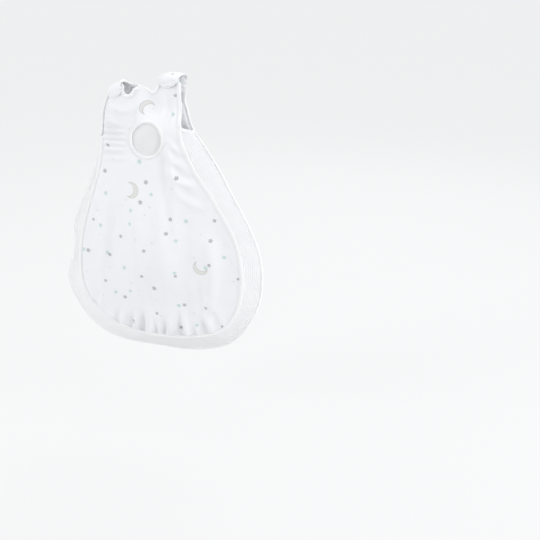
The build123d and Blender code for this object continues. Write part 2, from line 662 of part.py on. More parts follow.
# ---------------------------------------------------------------- surfaces and outlines
FRONT_HALF = FRONT_BELLY_HALF + GRID_STEP
FRONT_LOW = FRONT_FOOT_Z - GRID_STEP
FRONT_SURFACE = surface(front_y, FRONT_HALF, FRONT_LOW, RIGHT_LOOP_TOP)
BACK_SURFACE = surface(
    back_y, BACK_BELLY_HALF + GRID_STEP, BACK_FOOT_Z - GRID_STEP, BACK_STRAP_ROOT_Z + SHEET_OVERRUN
)
FRONT = front_outline()
BACK = back_outline()
FRONT_EDGE = edge_strip(FRONT, BINDING_WIDTH)
BACK_EDGE = edge_strip(BACK, BINDING_WIDTH)
BACK_HEM = edge_strip(BACK, HEM_WIDTH)
BELOW_ARMHOLES = window(-FAR, FAR, -3 * FAR, ARMHOLE_BASE_Z - SEAM_GAP)
BODY = window(-FAR, FAR, -3 * FAR, -NECK_DEPTH_BACK)
WINDOW_HOLE = Pos(WINDOW_X, WINDOW_Z) * Circle(WINDOW_RING_OUTER + SEAM_GAP)
FRONT_FILL = offset(FRONT & BODY, -FILL_INSET) - Pos(WINDOW_X, WINDOW_Z) * Circle(FILL_WINDOW)
BACK_FILL = offset(BACK & BELOW_ARMHOLES, -FILL_INSET)

# Zones that share out the edges of both panels
NECK_HALF = STRAP_INNER + BINDING_WIDTH
ARMHOLE_INNER = STRAP_OUTER - 2 * BINDING_WIDTH
NECK_ZONE = window(-NECK_HALF, NECK_HALF, ARMHOLE_BASE_Z, HIGH)
RIGHT_ARMHOLE_ZONE = window(ARMHOLE_INNER, FAR, ARMHOLE_BASE_Z, HIGH)
LEFT_ARMHOLE_ZONE = mirror(RIGHT_ARMHOLE_ZONE, about=Plane.YZ)
ROOT_DEPTH = FRONT_STRAP_LENGTH + STRAP_ROOT + SEAM_GAP
FRONT_STRAP_ROOTS = window(STRAP_INNER, FAR, RIGHT_LOOP_TOP - ROOT_DEPTH, HIGH)
FRONT_STRAP_ROOTS += window(-FAR, -STRAP_INNER, LEFT_LOOP_TOP - ROOT_DEPTH, HIGH)
BACK_STRAP_LOW = BACK_STRAP_ROOT_Z - STRAP_ROOT - SEAM_GAP
BACK_STRAP_ROOTS = window(-FAR, FAR, BACK_STRAP_LOW, HIGH)
BELOW_BACK_STRAPS = window(-FAR, FAR, -3 * FAR, BACK_STRAP_LOW - SEAM_GAP)

# ---------------------------------------------------------------- assembly
pieces = {
    "front_panel": make_front_panel(),
    "back_panel": make_back_panel(),
    "front_piping": front_layer(FRONT_EDGE & BELOW_ARMHOLES, -BINDING_PROUD, QUILT_T),
    "hem_piping": flat_back_layer(BACK_HEM & BELOW_ARMHOLES, -HEM_PROUD, QUILT_T),
    "neck_binding_front": bound_front((FRONT_EDGE & NECK_ZONE) - FRONT_STRAP_ROOTS),
    "neck_binding_back": bound_back(BACK_EDGE & NECK_ZONE & BELOW_BACK_STRAPS),
    "zip_stops": ZIP_FRAME * make_zip_stops(),
    "zip_stringer_outer": ZIP_FRAME * make_stringer(1),
    "zip_stringer_inner": ZIP_FRAME * make_stringer(-1),
    "zip_slider": ZIP_FRAME * make_zip_slider(),
    "zip_pull": ZIP_FRAME * make_zip_pull(),
}
pieces["front_wadding"], pieces["back_wadding"] = make_fillings()
pieces["front_lining"], pieces["back_lining"] = make_linings()
pieces["mesh_band"], armholes = make_band_and_armholes()
pieces["armhole_binding_right"], pieces["armhole_binding_left"] = armholes
pieces["chest_ring"], pieces["chest_mesh"] = make_chest_window()

strap_pockets, tab_pockets = make_snap_pockets()
for side, loop in zip(("right", "left"), LOOPS):
    frame = snap_frame(*loop)
    pieces["front_panel"] -= frame * strap_pockets
    pieces[f"{side}_tab"] = make_tab(*loop) - frame * tab_pockets
    for name, piece in zip(("backing", "stud", "socket", "cap"), make_snap()):
        pieces[f"{side}_snap_{name}"] = frame * piece

os.makedirs("parts", exist_ok=True)
for name, piece in pieces.items():
    export_step(Pos(-HALF_SPACING, 0, 0) * piece, f"parts/{name}.step")
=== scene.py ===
"""Looks of the baby sleeping bag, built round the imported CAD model.

Lengths in this script are millimetres in the CAD frame (x right, y back, z up) until a mesh is made.
The camera, the floor and the lamps are placed in metres.
"""

import json
import math

import bmesh
import bpy
import numpy as np
from mathutils import Matrix, Vector
from mathutils.geometry import delaunay_2d_cdt
from mathutils.kdtree import KDTree


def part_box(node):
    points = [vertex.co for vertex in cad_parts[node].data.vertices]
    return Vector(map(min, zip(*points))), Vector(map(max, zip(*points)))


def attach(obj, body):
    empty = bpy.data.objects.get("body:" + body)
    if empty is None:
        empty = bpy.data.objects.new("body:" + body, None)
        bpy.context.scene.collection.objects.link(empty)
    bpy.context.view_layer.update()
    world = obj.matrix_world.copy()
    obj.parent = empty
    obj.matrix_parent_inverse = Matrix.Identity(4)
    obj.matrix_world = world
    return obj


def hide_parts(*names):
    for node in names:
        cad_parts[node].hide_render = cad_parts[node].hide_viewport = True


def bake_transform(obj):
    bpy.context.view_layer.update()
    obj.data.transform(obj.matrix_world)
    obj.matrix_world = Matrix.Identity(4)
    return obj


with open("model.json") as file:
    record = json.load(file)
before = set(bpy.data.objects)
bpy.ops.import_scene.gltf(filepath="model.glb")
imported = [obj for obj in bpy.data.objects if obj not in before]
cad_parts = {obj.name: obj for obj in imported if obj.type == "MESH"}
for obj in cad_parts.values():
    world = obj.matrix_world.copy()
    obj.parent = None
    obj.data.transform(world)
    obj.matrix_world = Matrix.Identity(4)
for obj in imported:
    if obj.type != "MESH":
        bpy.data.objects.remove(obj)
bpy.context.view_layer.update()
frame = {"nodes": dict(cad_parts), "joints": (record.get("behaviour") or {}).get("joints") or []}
MM = 0.001
TAU = 2 * math.pi


# ------------------------------------------------------------------ places taken from the CAD frame
def cad_box(node):
    """Lowest and highest corner of a CAD node, in mm."""
    low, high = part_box(node)
    return np.array(low) / MM, np.array(high) / MM


RING_LOW, RING_HIGH = cad_box("chest_ring")
RING = np.array([(RING_LOW[0] + RING_HIGH[0]) / 2, (RING_LOW[2] + RING_HIGH[2]) / 2])
RING_OUTER = (RING_HIGH[0] - RING_LOW[0]) / 2
RING_WIDTH = 7.0
RING_MID = RING_OUTER - RING_WIDTH / 2
TABS = {side: cad_box(f"{side}_tab") for side in ("right", "left")}
RIGHT_X = (TABS["right"][0][0] + TABS["right"][1][0]) / 2
LEFT_X = (TABS["left"][0][0] + TABS["left"][1][0]) / 2
MIDDLE = (RIGHT_X + LEFT_X) / 2
STRAP_HALF = (TABS["right"][1][0] - TABS["right"][0][0]) / 2 + 0.2
INNER = (RIGHT_X - LEFT_X) / 2 - STRAP_HALF
BASE_Z = -114.0  # of the armholes
FACE_Y = -6.0  # back panel's outer face
RIM_Y = -43.0  # front panel's outer face along its seam
STRAPS_FRONT_Y = (-47.0, -19.0)  # front's outer face at the left and the right strap
STRAPS_BACK_Y = (-18.0, 19.0)  # back's outer face there
BELLY = 36.0  # how far the front bulges, and where
BELLY_X, BELLY_Z, BELLY_HALF = -48.0, -350.0, 170.0
BELLY_REACH = (210.0, 50.0)  # its half height low down, and how much more that is high up
STRAP_RISE = {"front": 70.0, "back": 68.0}  # height over which a panel goes over to its straps' depths
BAG_MIDDLE = (MIDDLE, -20, -350)
FORWARDS, BACKWARDS = (0.0, -1.0, 0.0), (0.0, 1.0, 0.0)


# ------------------------------------------------------------------ curves and surfaces
def smooth(value, low=0.0, high=1.0):
    """Smoothstep from low to high."""
    t = np.clip((np.asarray(value, float) - low) / (high - low), 0, 1)
    return t * t * (3 - 2 * t)


def eased(value):
    """Soft step from 0 to 1 about a half."""
    return (1 + np.tanh(4 * (value - 0.5))) / 2


def across(left, right, x):
    """A depth that changes between the left strap and the right one."""
    return left + (right - left) * eased((x - MIDDLE + INNER) / (2 * INNER))


def unit(vectors):
    """The same vectors at length 1."""
    return vectors / (np.linalg.norm(vectors, axis=1)[:, None] + 1e-9)


def run_along(line):
    """Length from a line's start to each of its points."""
    return np.concatenate([[0], np.cumsum(np.linalg.norm(np.diff(line, axis=0), axis=1))])


def resample(line, step):
    """The same polyline with even spacing near step."""
    lengths = run_along(line)
    at = np.linspace(0, lengths[-1], max(2, int(round(lengths[-1] / step)) + 1))
    return np.stack([np.interp(at, lengths, part) for part in line.T], 1)


def spline(points, step):
    """Points about a step apart along a Catmull-Rom curve through the given ones."""
    p = np.asarray(points, float)
    p = np.concatenate([[2 * p[0] - p[1]], p, [2 * p[-1] - p[-2]]])
    out = []
    for a, b, c, d in zip(p, p[1:], p[2:], p[3:]):
        count = max(2, int(np.linalg.norm(c - b)))
        t = np.arange(count)[:, None] / count
        out.append(0.5 * (2 * b + (c - a) * t + (2 * a - 5 * b + 4 * c - d) * t**2
                          + (3 * b - 3 * c + d - a) * t**3))
    return resample(np.concatenate([*out, p[-2:-1]]), step)


def front_depth(x, z):
    """Depth of the front's outer face before its folds."""
    rise = eased((z - BASE_Z) / STRAP_RISE["front"])
    base = RIM_Y + (across(*STRAPS_FRONT_Y, x) - RIM_Y) * rise
    height = z - BELLY_Z
    reach = BELLY_REACH[0] + BELLY_REACH[1] * eased((height + BELLY_HALF) / (2 * BELLY_HALF))
    return base - BELLY * np.exp(-2 * (((x - BELLY_X) / BELLY_HALF) ** 2 + (height / reach) ** 2))


def back_depth(x, z):
    """Depth of the back's outer face before its folds."""
    rise = eased((z - BASE_Z) / STRAP_RISE["back"])
    return FACE_Y + (across(*STRAPS_BACK_Y, x) - FACE_Y) * rise


# ------------------------------------------------------------------ outlines, in x and z
FRONT_SEAM = spline([
    (27, -96), (31, -118), (39, -142), (57, -180), (86, -225), (114, -273), (135, -316), (147, -353),
    (153, -398), (151, -446), (141, -490), (119, -530), (88, -554), (44, -568), (-13, -575),
    (-63, -575), (-112, -569), (-161, -552), (-201, -521), (-226, -483), (-234, -438),
    (-229, -388), (-218, -339), (-202, -291), (-183, -244), (-168, -205), (-157, -172),
    (-152, -142), (-148, -116),
], 5.0)
HEM = spline([
    (45, -108), (77, -154), (98, -189), (123, -238), (151, -291), (171, -337), (182, -373),
    (187, -411), (184, -460), (173, -503), (150, -547), (121, -583), (84, -605), (35, -618),
    (-15, -621), (-65, -619), (-116, -618), (-163, -612), (-206, -596), (-242, -566),
    (-266, -528), (-282, -492), (-285, -463), (-277, -434), (-265, -408), (-258, -375),
    (-254, -330), (-232, -280), (-212, -240), (-196, -208), (-180, -173), (-166, -138), (-157, -114),
], 5.0)
FRONT_LEFT_SIDE = spline([
    (-148, -116), (-146.5, -96), (-142, -72), (-135.5, -50), (-129.5, -38), (-121, -24),
], 4.0)
FRONT_RIGHT_SIDE = spline([(21.5, -1), (21.3, -26), (22, -50), (24, -76), (27, -96)], 4.0)
NECK_FRONT = spline([
    (-88.5, -14), (-90.3, -22), (-88, -29), (-82, -32), (-75.5, -30), (-70.5, -23.5),
    (-65.5, -17.5), (-58, -15.5), (-50, -18.5), (-43, -23.5), (-37, -26.5), (-31, -23.5), (-26, -14),
    (-22.5, -6), (-21.5, -1),
], 4.0)
BACK_LEFT_SIDE = spline([(-157, -114), (-149, -95), (-139, -75), (-130, -57), (-126, -44), (-131, -34)], 4.0)
BACK_RIGHT_SIDE = spline([
    (21.5, -34), (18.3, -40), (17.5, -48), (20.5, -61), (28.5, -78), (37, -94), (45, -108),
], 4.0)
NECK_BACK = spline([
    (-88.5, -34), (-88.3, -25), (-85, -16.5), (-77, -13.5), (-69, -17), (-60, -23.5), (-51, -30),
    (-42, -37), (-33, -43.5), (-26, -42.5), (-21.5, -34),
], 4.0)


def join(*lines):
    """One closed loop from lines that meet at their ends."""
    return np.concatenate([line[:-1] for line in lines])


FRONT_LOOP = join(
    FRONT_SEAM, FRONT_LEFT_SIDE, resample(np.array([(-121, -24), (-88.5, -14)], float), 4.0),
    NECK_FRONT, resample(np.array([(-21.5, -1), (21.5, -1)], float), 4.0), FRONT_RIGHT_SIDE,
)
BACK_LOOP = join(
    HEM, BACK_LEFT_SIDE, resample(np.array([(-131, -34), (-88.5, -34)], float), 4.0),
    NECK_BACK, resample(np.array([(-21.5, -34), (21.5, -34)], float), 4.0), BACK_RIGHT_SIDE,
)


def circle(centre, radius, count):
    """Closed ring of points."""
    a = np.arange(count) * TAU / count
    return np.stack([centre[0] + radius * np.cos(a), centre[1] + radius * np.sin(a)], 1)


def signed_area(loop):
    """Twice a closed loop's area, above 0 when it turns from x to z."""
    ahead = np.roll(loop, -1, 0)
    return np.sum(loop[:, 0] * ahead[:, 1] - ahead[:, 0] * loop[:, 1])


def inset(loop, amount):
    """Closed loop moved towards its inside."""
    tangent = np.roll(loop, -1, 0) - np.roll(loop, 1, 0)
    normal = unit(np.stack([tangent[:, 1], -tangent[:, 0]], 1))
    return loop - normal * amount * (1 if signed_area(loop) > 0 else -1)


def inside(points, loop):
    """Which points lie in a closed loop."""
    x, y = points[:, 0][:, None], points[:, 1][:, None]
    x0, y0 = loop[:, 0][None], loop[:, 1][None]
    x1, y1 = np.roll(loop[:, 0], -1)[None], np.roll(loop[:, 1], -1)[None]
    crosses = (y0 > y) != (y1 > y)
    with np.errstate(divide="ignore", invalid="ignore"):
        left = x < (x1 - x0) * (y - y0) / (y1 - y0) + x0
    return (np.sum(crosses & left, axis=1) % 2) == 1


CHUNK = 4000  # points handled at once, to spare memory


def edge_distance(points, loops):
    """Distance from each point to the nearest loop."""
    best = np.full(len(points), 1e9)
    for a in loops:
        d = np.roll(a, -1, 0) - a
        length = np.sum(d * d, 1) + 1e-12
        for k in range(0, len(points), CHUNK):
            p = points[k : k + CHUNK]
            t = np.clip(np.einsum("nmk,mk->nm", p[:, None] - a[None], d) / length, 0, 1)
            gap = p[:, None] - (a[None] + t[..., None] * d[None])
            best[k : k + CHUNK] = np.minimum(best[k : k + CHUNK], np.sqrt((gap**2).sum(2)).min(1))
    return best


def doubled_areas(points, tris):
    """Twice the signed area of each flat triangle."""
    a, b, c = (points[tris[:, k]] for k in range(3))
    return (b[:, 0] - a[:, 0]) * (c[:, 1] - a[:, 1]) - (b[:, 1] - a[:, 1]) * (c[:, 0] - a[:, 0])


def within(points, outline, holes):
    """Which points lie inside an outline and outside its holes."""
    found = inside(points, outline)
    for hole in holes:
        found &= ~inside(points, hole)
    return found


def grid_in(outline, holes, pitch, extra):
    """Triangular grid that keeps off the edges, with extra points in place of the nearest ones."""
    low, high = outline.min(0), outline.max(0)
    row = pitch * math.sqrt(3) / 2
    grid = []
    for j in range(int((high[1] - low[1]) / row) + 2):
        xs = np.arange(low[0] + (j % 2) * pitch / 2, high[0] + pitch, pitch)
        grid.append(np.stack([xs, np.full(len(xs), low[1] + j * row)], 1))
    grid = np.concatenate(grid)
    grid = grid[within(grid, outline, holes)]
    grid = grid[edge_distance(grid, [outline, *holes]) > 0.55 * pitch]
    if not len(extra):
        return grid
    extra = np.concatenate(extra)
    extra = extra[inside(extra, outline) & (edge_distance(extra, [outline, *holes]) > 0.8)]
    gaps = np.sqrt(((grid[:, None] - extra[None]) ** 2).sum(2)).min(1)
    return np.concatenate([grid[gaps > 0.6 * pitch], extra])


class Sheet:
    """Flat triangulated sheet: points, triangles, boundary loops (as indices) and edge distance."""

    def __init__(self, outline, holes, pitch, extra=()):
        loops = [outline, *holes]
        points = np.concatenate([*loops, grid_in(outline, holes, pitch, extra)])
        edges, start = [], 0
        self.loops = []
        for loop in loops:
            n = len(loop)
            self.loops.append(np.arange(start, start + n))
            edges += [(start + i, start + (i + 1) % n) for i in range(n)]
            start += n
        faces, origin = delaunay_2d_cdt([Vector(p) for p in points], edges, [], 0, 1e-6, True)[2:4]
        index = np.array([o[0] if o else -1 for o in origin])
        tris = np.array([[index[v] for v in f] for f in faces if len(f) == 3])
        tris = tris[(tris >= 0).all(1)]
        tris = tris[within(points[tris].mean(1), outline, holes)]
        turn = doubled_areas(points, tris)
        tris[turn < 0] = tris[turn < 0][:, ::-1]
        self.flat, self.tris = points, tris[np.abs(turn) > 1e-6]
        self.edge = edge_distance(points, loops)
        self.edge[np.concatenate(self.loops)] = 0


def normals_of(points, tris):
    """Unit normals at the points."""
    a, b, c = (points[tris[:, k]] for k in range(3))
    face = np.cross(b - a, c - a)
    out = np.zeros_like(points)
    for k in range(3):
        np.add.at(out, tris[:, k], face)
    return unit(out)


# ------------------------------------------------------------------ folds
def along(points, path):
    """(signed distance, share of the length) of flat points from a curve."""
    line = spline(path, 3.0)
    a, b = line[:-1], line[1:]
    d = b - a
    length = np.sqrt((d * d).sum(1))
    best = np.full(len(points), 1e9)
    sign, share = np.zeros(len(points)), np.zeros(len(points))
    total = length.sum()
    start = np.concatenate([[0], np.cumsum(length)])[:-1]
    for k in range(len(a)):
        t = np.clip(((points - a[k]) @ d[k]) / length[k] ** 2, 0, 1)
        gap = points - (a[k] + t[:, None] * d[k])
        dist = np.hypot(gap[:, 0], gap[:, 1])
        near = dist < best
        best[near] = dist[near]
        cross = d[k][0] * gap[:, 1] - d[k][1] * gap[:, 0]
        sign[near] = np.sign(cross[near])
        share[near] = (start[k] + t[near] * length[k]) / total
    return best * sign, share


HOLLOW_AT = 1.8  # in widths of the ridge


def fold(points, path, height, width, hollow=0.0, fade=(0.25, 0.3)):
    """Soft ridge along a curve, with a hollow beside it; fade is the share of each end that dies out."""
    distance, share = along(points, path)
    t = distance / width
    ridge = np.exp(-(t**2)) - hollow * np.exp(-((t - HOLLOW_AT) ** 2))
    ends = smooth(share, 0, fade[0]) * smooth(1 - share, 0, fade[1])
    return height * ridge * ends


WAVE_COUNT = 9


def waves(points, scale, seed):
    """Smooth even noise from a few crossed waves, about -1 to 1."""
    rng = np.random.default_rng(seed)
    total = np.zeros(len(points))
    for _ in range(WAVE_COUNT):
        angle, phase = rng.uniform(0, TAU, 2)
        k = TAU / (scale * rng.uniform(0.7, 1.6))
        total += np.sin(k * (points[:, 0] * math.cos(angle) + points[:, 1] * math.sin(angle)) + phase)
    return total / (WAVE_COUNT / 2)


# Folds: path, height, width, share of the hollow beside the ridge, and fade
SEAM_FADE = (0.05, 0.8)
FRONT_FOLDS = [
    # gathers between the left side and the window
    ([(-148, -92), (-120, -90), (-88, -96)], 2.8, 4.0, 0.6),
    ([(-150, -105), (-120, -104), (-84, -107)], 3.2, 4.0, 0.6),
    ([(-152, -119), (-118, -117), (-82, -119)], 3.4, 4.2, 0.7),
    ([(-154, -132), (-118, -131), (-83, -131)], 3.2, 4.0, 0.6),
    ([(-152, -147), (-118, -145), (-84, -143)], 3.0, 4.5, 0.6),
    ([(-154, -165), (-118, -163), (-80, -157)], 2.6, 5.5, 0.5),
    # drag lines that hang from the right strap and swing under the window
    ([(0, -112), (12, -134), (34, -140)], 3.0, 5.5, 0.6),
    ([(-6, -126), (8, -160), (44, -170)], 3.4, 7.0, 0.6),
    ([(-4, -158), (18, -200), (66, -214)], 4.0, 8.0, 0.6),
    ([(4, -196), (30, -238), (84, -262)], 2.2, 9.0, 0.4),
    # long soft ridges down the belly
    ([(-10, -116), (-9, -190), (-5, -290), (0, -390)], -3.0, 9.5, 0.45, (0.2, 0.5)),
    ([(16, -190), (22, -300), (28, -420), (20, -560)], -7.5, 34.0, 0.0, (0.3, 0.2)),
    ([(36, -420), (46, -480), (52, -540)], 3.4, 9.0, 0.4),
    ([(78, -300), (88, -380), (80, -470), (66, -550)], 4.6, 15.0, 0.5),
    ([(-66, -230), (-78, -330), (-84, -450), (-78, -560)], 3.4, 16.0, 0.4),
    ([(-138, -240), (-158, -330), (-168, -430)], 3.0, 14.0, 0.5),
    ([(-30, -250), (-40, -340), (-38, -460)], -2.4, 13.0),
    # crease from the moon to the window, and the drape under the left shoulder
    ([(-57, -48), (-68, -66), (-75, -92)], -2.6, 3.2, 0.7),
    ([(-128, -52), (-106, -62), (-80, -62), (-60, -52)], 2.2, 6.5, 0.5),
    ([(-140, -76), (-112, -84), (-84, -82)], 2.4, 6.0, 0.5),
    ([(-12, -30), (-16, -60), (-22, -88)], 2.0, 6.0, 0.4),
    ([(8, -24), (10, -60), (6, -98)], 2.4, 5.5, 0.5),
    # puckers that rise from the bottom seam
    ([(-142, -558), (-131, -528), (-124, -494)], 5.2, 7.5, 0.7, SEAM_FADE),
    ([(-108, -569), (-101, -540), (-99, -516)], 7.8, 5.6, 0.8, SEAM_FADE),
    ([(-76, -574), (-69, -540), (-70, -486)], 8.4, 6.6, 0.8, SEAM_FADE),
    ([(-47, -575), (-45, -556), (-47, -538)], 4.4, 4.6, 0.8, SEAM_FADE),
    ([(-25, -575), (-20, -545), (-25, -508)], 6.6, 5.6, 0.8, SEAM_FADE),
    ([(22, -571), (17, -540), (12, -492)], 8.4, 6.4, 0.8, SEAM_FADE),
    ([(52, -565), (47, -545), (45, -526)], 5.0, 5.0, 0.8, SEAM_FADE),
    ([(80, -556), (73, -530), (60, -500)], 7.0, 6.4, 0.8, SEAM_FADE),
    ([(112, -534), (98, -508), (86, -480)], 3.4, 7.0, 0.6, SEAM_FADE),
    ([(-196, -522), (-182, -494), (-172, -470)], 3.0, 7.0, 0.6, SEAM_FADE),
]
BACK_FOLDS = [
    ([(-120, -150), (-60, -168), (0, -160)], 2.0, 8.0, 0.5),
    ([(-80, -260), (20, -300), (110, -290)], 2.2, 11.0, 0.5),
    ([(-200, -420), (-100, -455), (30, -440), (130, -400)], 2.4, 13.0, 0.5),
    ([(-60, -100), (-70, -200), (-50, -330)], 1.8, 12.0, 0.4),
    ([(40, -200), (60, -330), (40, -500)], 2.2, 13.0, 0.4),
    ([(-180, -560), (-150, -520), (-110, -500)], 2.6, 8.0, 0.5),
    ([(-40, -610), (-30, -570), (-34, -530)], 2.6, 8.0, 0.5, SEAM_FADE),
    ([(60, -600), (50, -560), (46, -520)], 2.6, 8.0, 0.5, SEAM_FADE),
]
FOLD_GAIN = 1.15
RIPPLES = ((1.1, 85.0), (0.5, 36.0))  # height and length
SEAM_SHARE = 0.18  # share of the folds' height that is left at a seam
FRONT_SEED, BACK_SEED = 4, 9


def add_folds(points, folds, seed, edge):
    """Height of all folds over flat points, which die out at the seams."""
    total = np.zeros(len(points))
    for item in folds:
        total += FOLD_GAIN * fold(points, *item)
    for k, (height, length) in enumerate(RIPPLES):
        total += height * waves(points, length, seed + k)
    return total * (SEAM_SHARE + (1 - SEAM_SHARE) * smooth(edge, 0, 16))


# ------------------------------------------------------------------ meshes
def make_piece(name, verts, faces, material, replaces=(), uv=None, body="root"):
    """Object from points in mm with its faces turned outwards; it rides on a body, if one is given."""
    mesh = bpy.data.meshes.new(name)
    verts = [tuple(v) for v in np.asarray(verts, float) * MM]
    mesh.from_pydata(verts, [], [tuple(map(int, f)) for f in faces])
    mesh.validate()
    if uv is not None:
        layer = mesh.uv_layers.new(name="cloth")
        corner = np.zeros(len(mesh.loops), np.int32)
        mesh.loops.foreach_get("vertex_index", corner)
        layer.data.foreach_set("uv", (np.asarray(uv, float)[corner] * MM).astype(np.float32).ravel())
    mesh.polygons.foreach_set("use_smooth", [True] * len(mesh.polygons))
    mesh.update()
    piece = bpy.data.objects.new(name, mesh)
    bpy.context.scene.collection.objects.link(piece)
    mesh.materials.append(material)
    if body:
        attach(piece, body)
    if replaces:
        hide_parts(*replaces)
    bm = bmesh.new()
    bm.from_mesh(mesh)
    bmesh.ops.recalc_face_normals(bm, faces=bm.faces)
    bm.to_mesh(mesh)
    bm.free()
    return piece


def padded_sheet(sheet, outer, thickness, rim, side=1):
    """Closed shell: outer points, points below them, and a rounded rim round every loop.

    side is 1 for the front, whose outer face looks towards -y, and -1 for the back.
    """
    tris = sheet.tris if side > 0 else sheet.tris[:, ::-1]
    normal = normals_of(outer, tris)
    inner = outer - normal * thickness[:, None]
    count = len(outer)
    verts, uv = [outer, inner], [sheet.flat, sheet.flat]
    faces = [*tris, *(tris[:, ::-1] + count)]
    start = 2 * count
    for loop in sheet.loops:
        n = len(loop)
        ahead = outer[np.roll(loop, -1)] - outer[np.roll(loop, 1)]
        out = unit(np.cross(normal[loop], ahead) * side)
        verts.append((outer[loop] + inner[loop]) / 2 + out * rim)
        uv.append(sheet.flat[loop])
        ring = np.arange(start, start + n)
        for i in range(n):
            j = (i + 1) % n
            a, b = loop[i], loop[j]
            faces += [(a, b, ring[j], ring[i]), (ring[i], ring[j], b + count, a + count)]
        start += n
    return np.concatenate(verts), faces, np.concatenate(uv)


def shell(verts, quads, normal, thickness):
    """Closed shell from an open net of quads: a second net below, and walls at every open edge."""
    count = len(verts)
    inner = verts - normal * thickness
    edges = np.concatenate([quads[:, [k, (k + 1) % 4]] for k in range(4)])
    key = np.sort(edges, axis=1)
    key = key[:, 0].astype(np.int64) * count + key[:, 1]
    _, first, uses = np.unique(key, return_index=True, return_counts=True)
    rim = edges[first[uses == 1]]
    walls = np.stack([rim[:, 1], rim[:, 0], rim[:, 0] + count, rim[:, 1] + count], 1)
    return np.concatenate([verts, inner]), np.concatenate([quads, quads[:, ::-1] + count, walls])


def square_to(normal, tangent):
    """Unit normals turned square to unit tangents."""
    return unit(normal - (normal * tangent).sum(1)[:, None] * tangent)


def sweep(path, normal, profile, closed=False, width=1.0):
    """Profile (out, up) carried along a path. up is the normal, out is normal x tangent."""
    n, m = len(path), len(profile)
    if closed:
        tangent = np.roll(path, -1, 0) - np.roll(path, 1, 0)
    else:
        tangent = np.gradient(path, axis=0)
    tangent = unit(tangent)
    normal = square_to(np.asarray(normal), tangent)
    out = np.cross(normal, tangent)
    profile = np.asarray(profile, float)
    width = np.broadcast_to(width, n)[:, None, None]
    verts = (
        path[:, None] + out[:, None] * (profile[None, :, 0:1] * width)
        + normal[:, None] * (profile[None, :, 1:2] * width)
    ).reshape(-1, 3)
    faces = []
    for i in range(n if closed else n - 1):
        j = (i + 1) % n
        for k in range(m):
            q = (k + 1) % m
            faces.append((i * m + k, i * m + q, j * m + q, j * m + k))
    length = run_along(path)
    if closed:
        length = np.minimum(length, length[-1] - length)
    else:
        faces += [tuple(range(m))[::-1], tuple((n - 1) * m + k for k in range(m))]
    uv = np.stack([np.repeat(length, m), np.tile(run_along(profile), n)], 1)
    return verts, faces, uv


def binding_profile(width, half, wall):
    """Tape folded over an edge at out = 0: a U that opens inwards."""
    steps = np.linspace(-math.pi / 2, math.pi / 2, 9)
    inner_half = half - wall
    outer = [(half * 0.75 * math.cos(a), half * math.sin(a)) for a in steps]
    inner = [(max(inner_half * 0.5 * math.cos(a), 0.05), inner_half * math.sin(a)) for a in steps[::-1]]
    top = [(-0.35 * width, half * 1.04), (-0.7 * width, half * 0.98), (-width, half - 0.15),
           (-width, inner_half), (-0.5 * width, inner_half)]
    low = [(out, -up) for out, up in reversed(top)]
    return outer + top + inner + low


def oval(half_width, half_height, count, power):
    """Superellipse profile."""
    out = []
    for k in range(count):
        c, s = math.cos(TAU * k / count), math.sin(TAU * k / count)
        out.append((half_width * math.copysign(abs(c) ** (2 / power), c),
                    half_height * math.copysign(abs(s) ** (2 / power), s)))
    return out


# ------------------------------------------------------------------ materials
class Wire:
    """Output of a shader node, which sums treat like a number."""

    def __init__(self, graph, socket):
        self.graph, self.socket = graph, socket

    def __add__(self, other):
        return self.graph.math("ADD", self, other)

    def __sub__(self, other):
        return self.graph.math("SUBTRACT", self, other)

    def __rsub__(self, other):
        return self.graph.math("SUBTRACT", other, self)

    def __mul__(self, other):
        return self.graph.math("MULTIPLY", self, other)

    def __truediv__(self, other):
        return self.graph.math("DIVIDE", self, other)


STAR_NOTCH, STAR_BORDER = 0.56, 0.18
CORE_SIZE, CORE_PALER = 0.5, 0.4  # of the paler star inside a star, as shares
MOON_SHIFT, MOON_BITE, MOON_RIM = 0.48, 0.84, 1.5  # circle cut from a crescent, as shares, and the outline


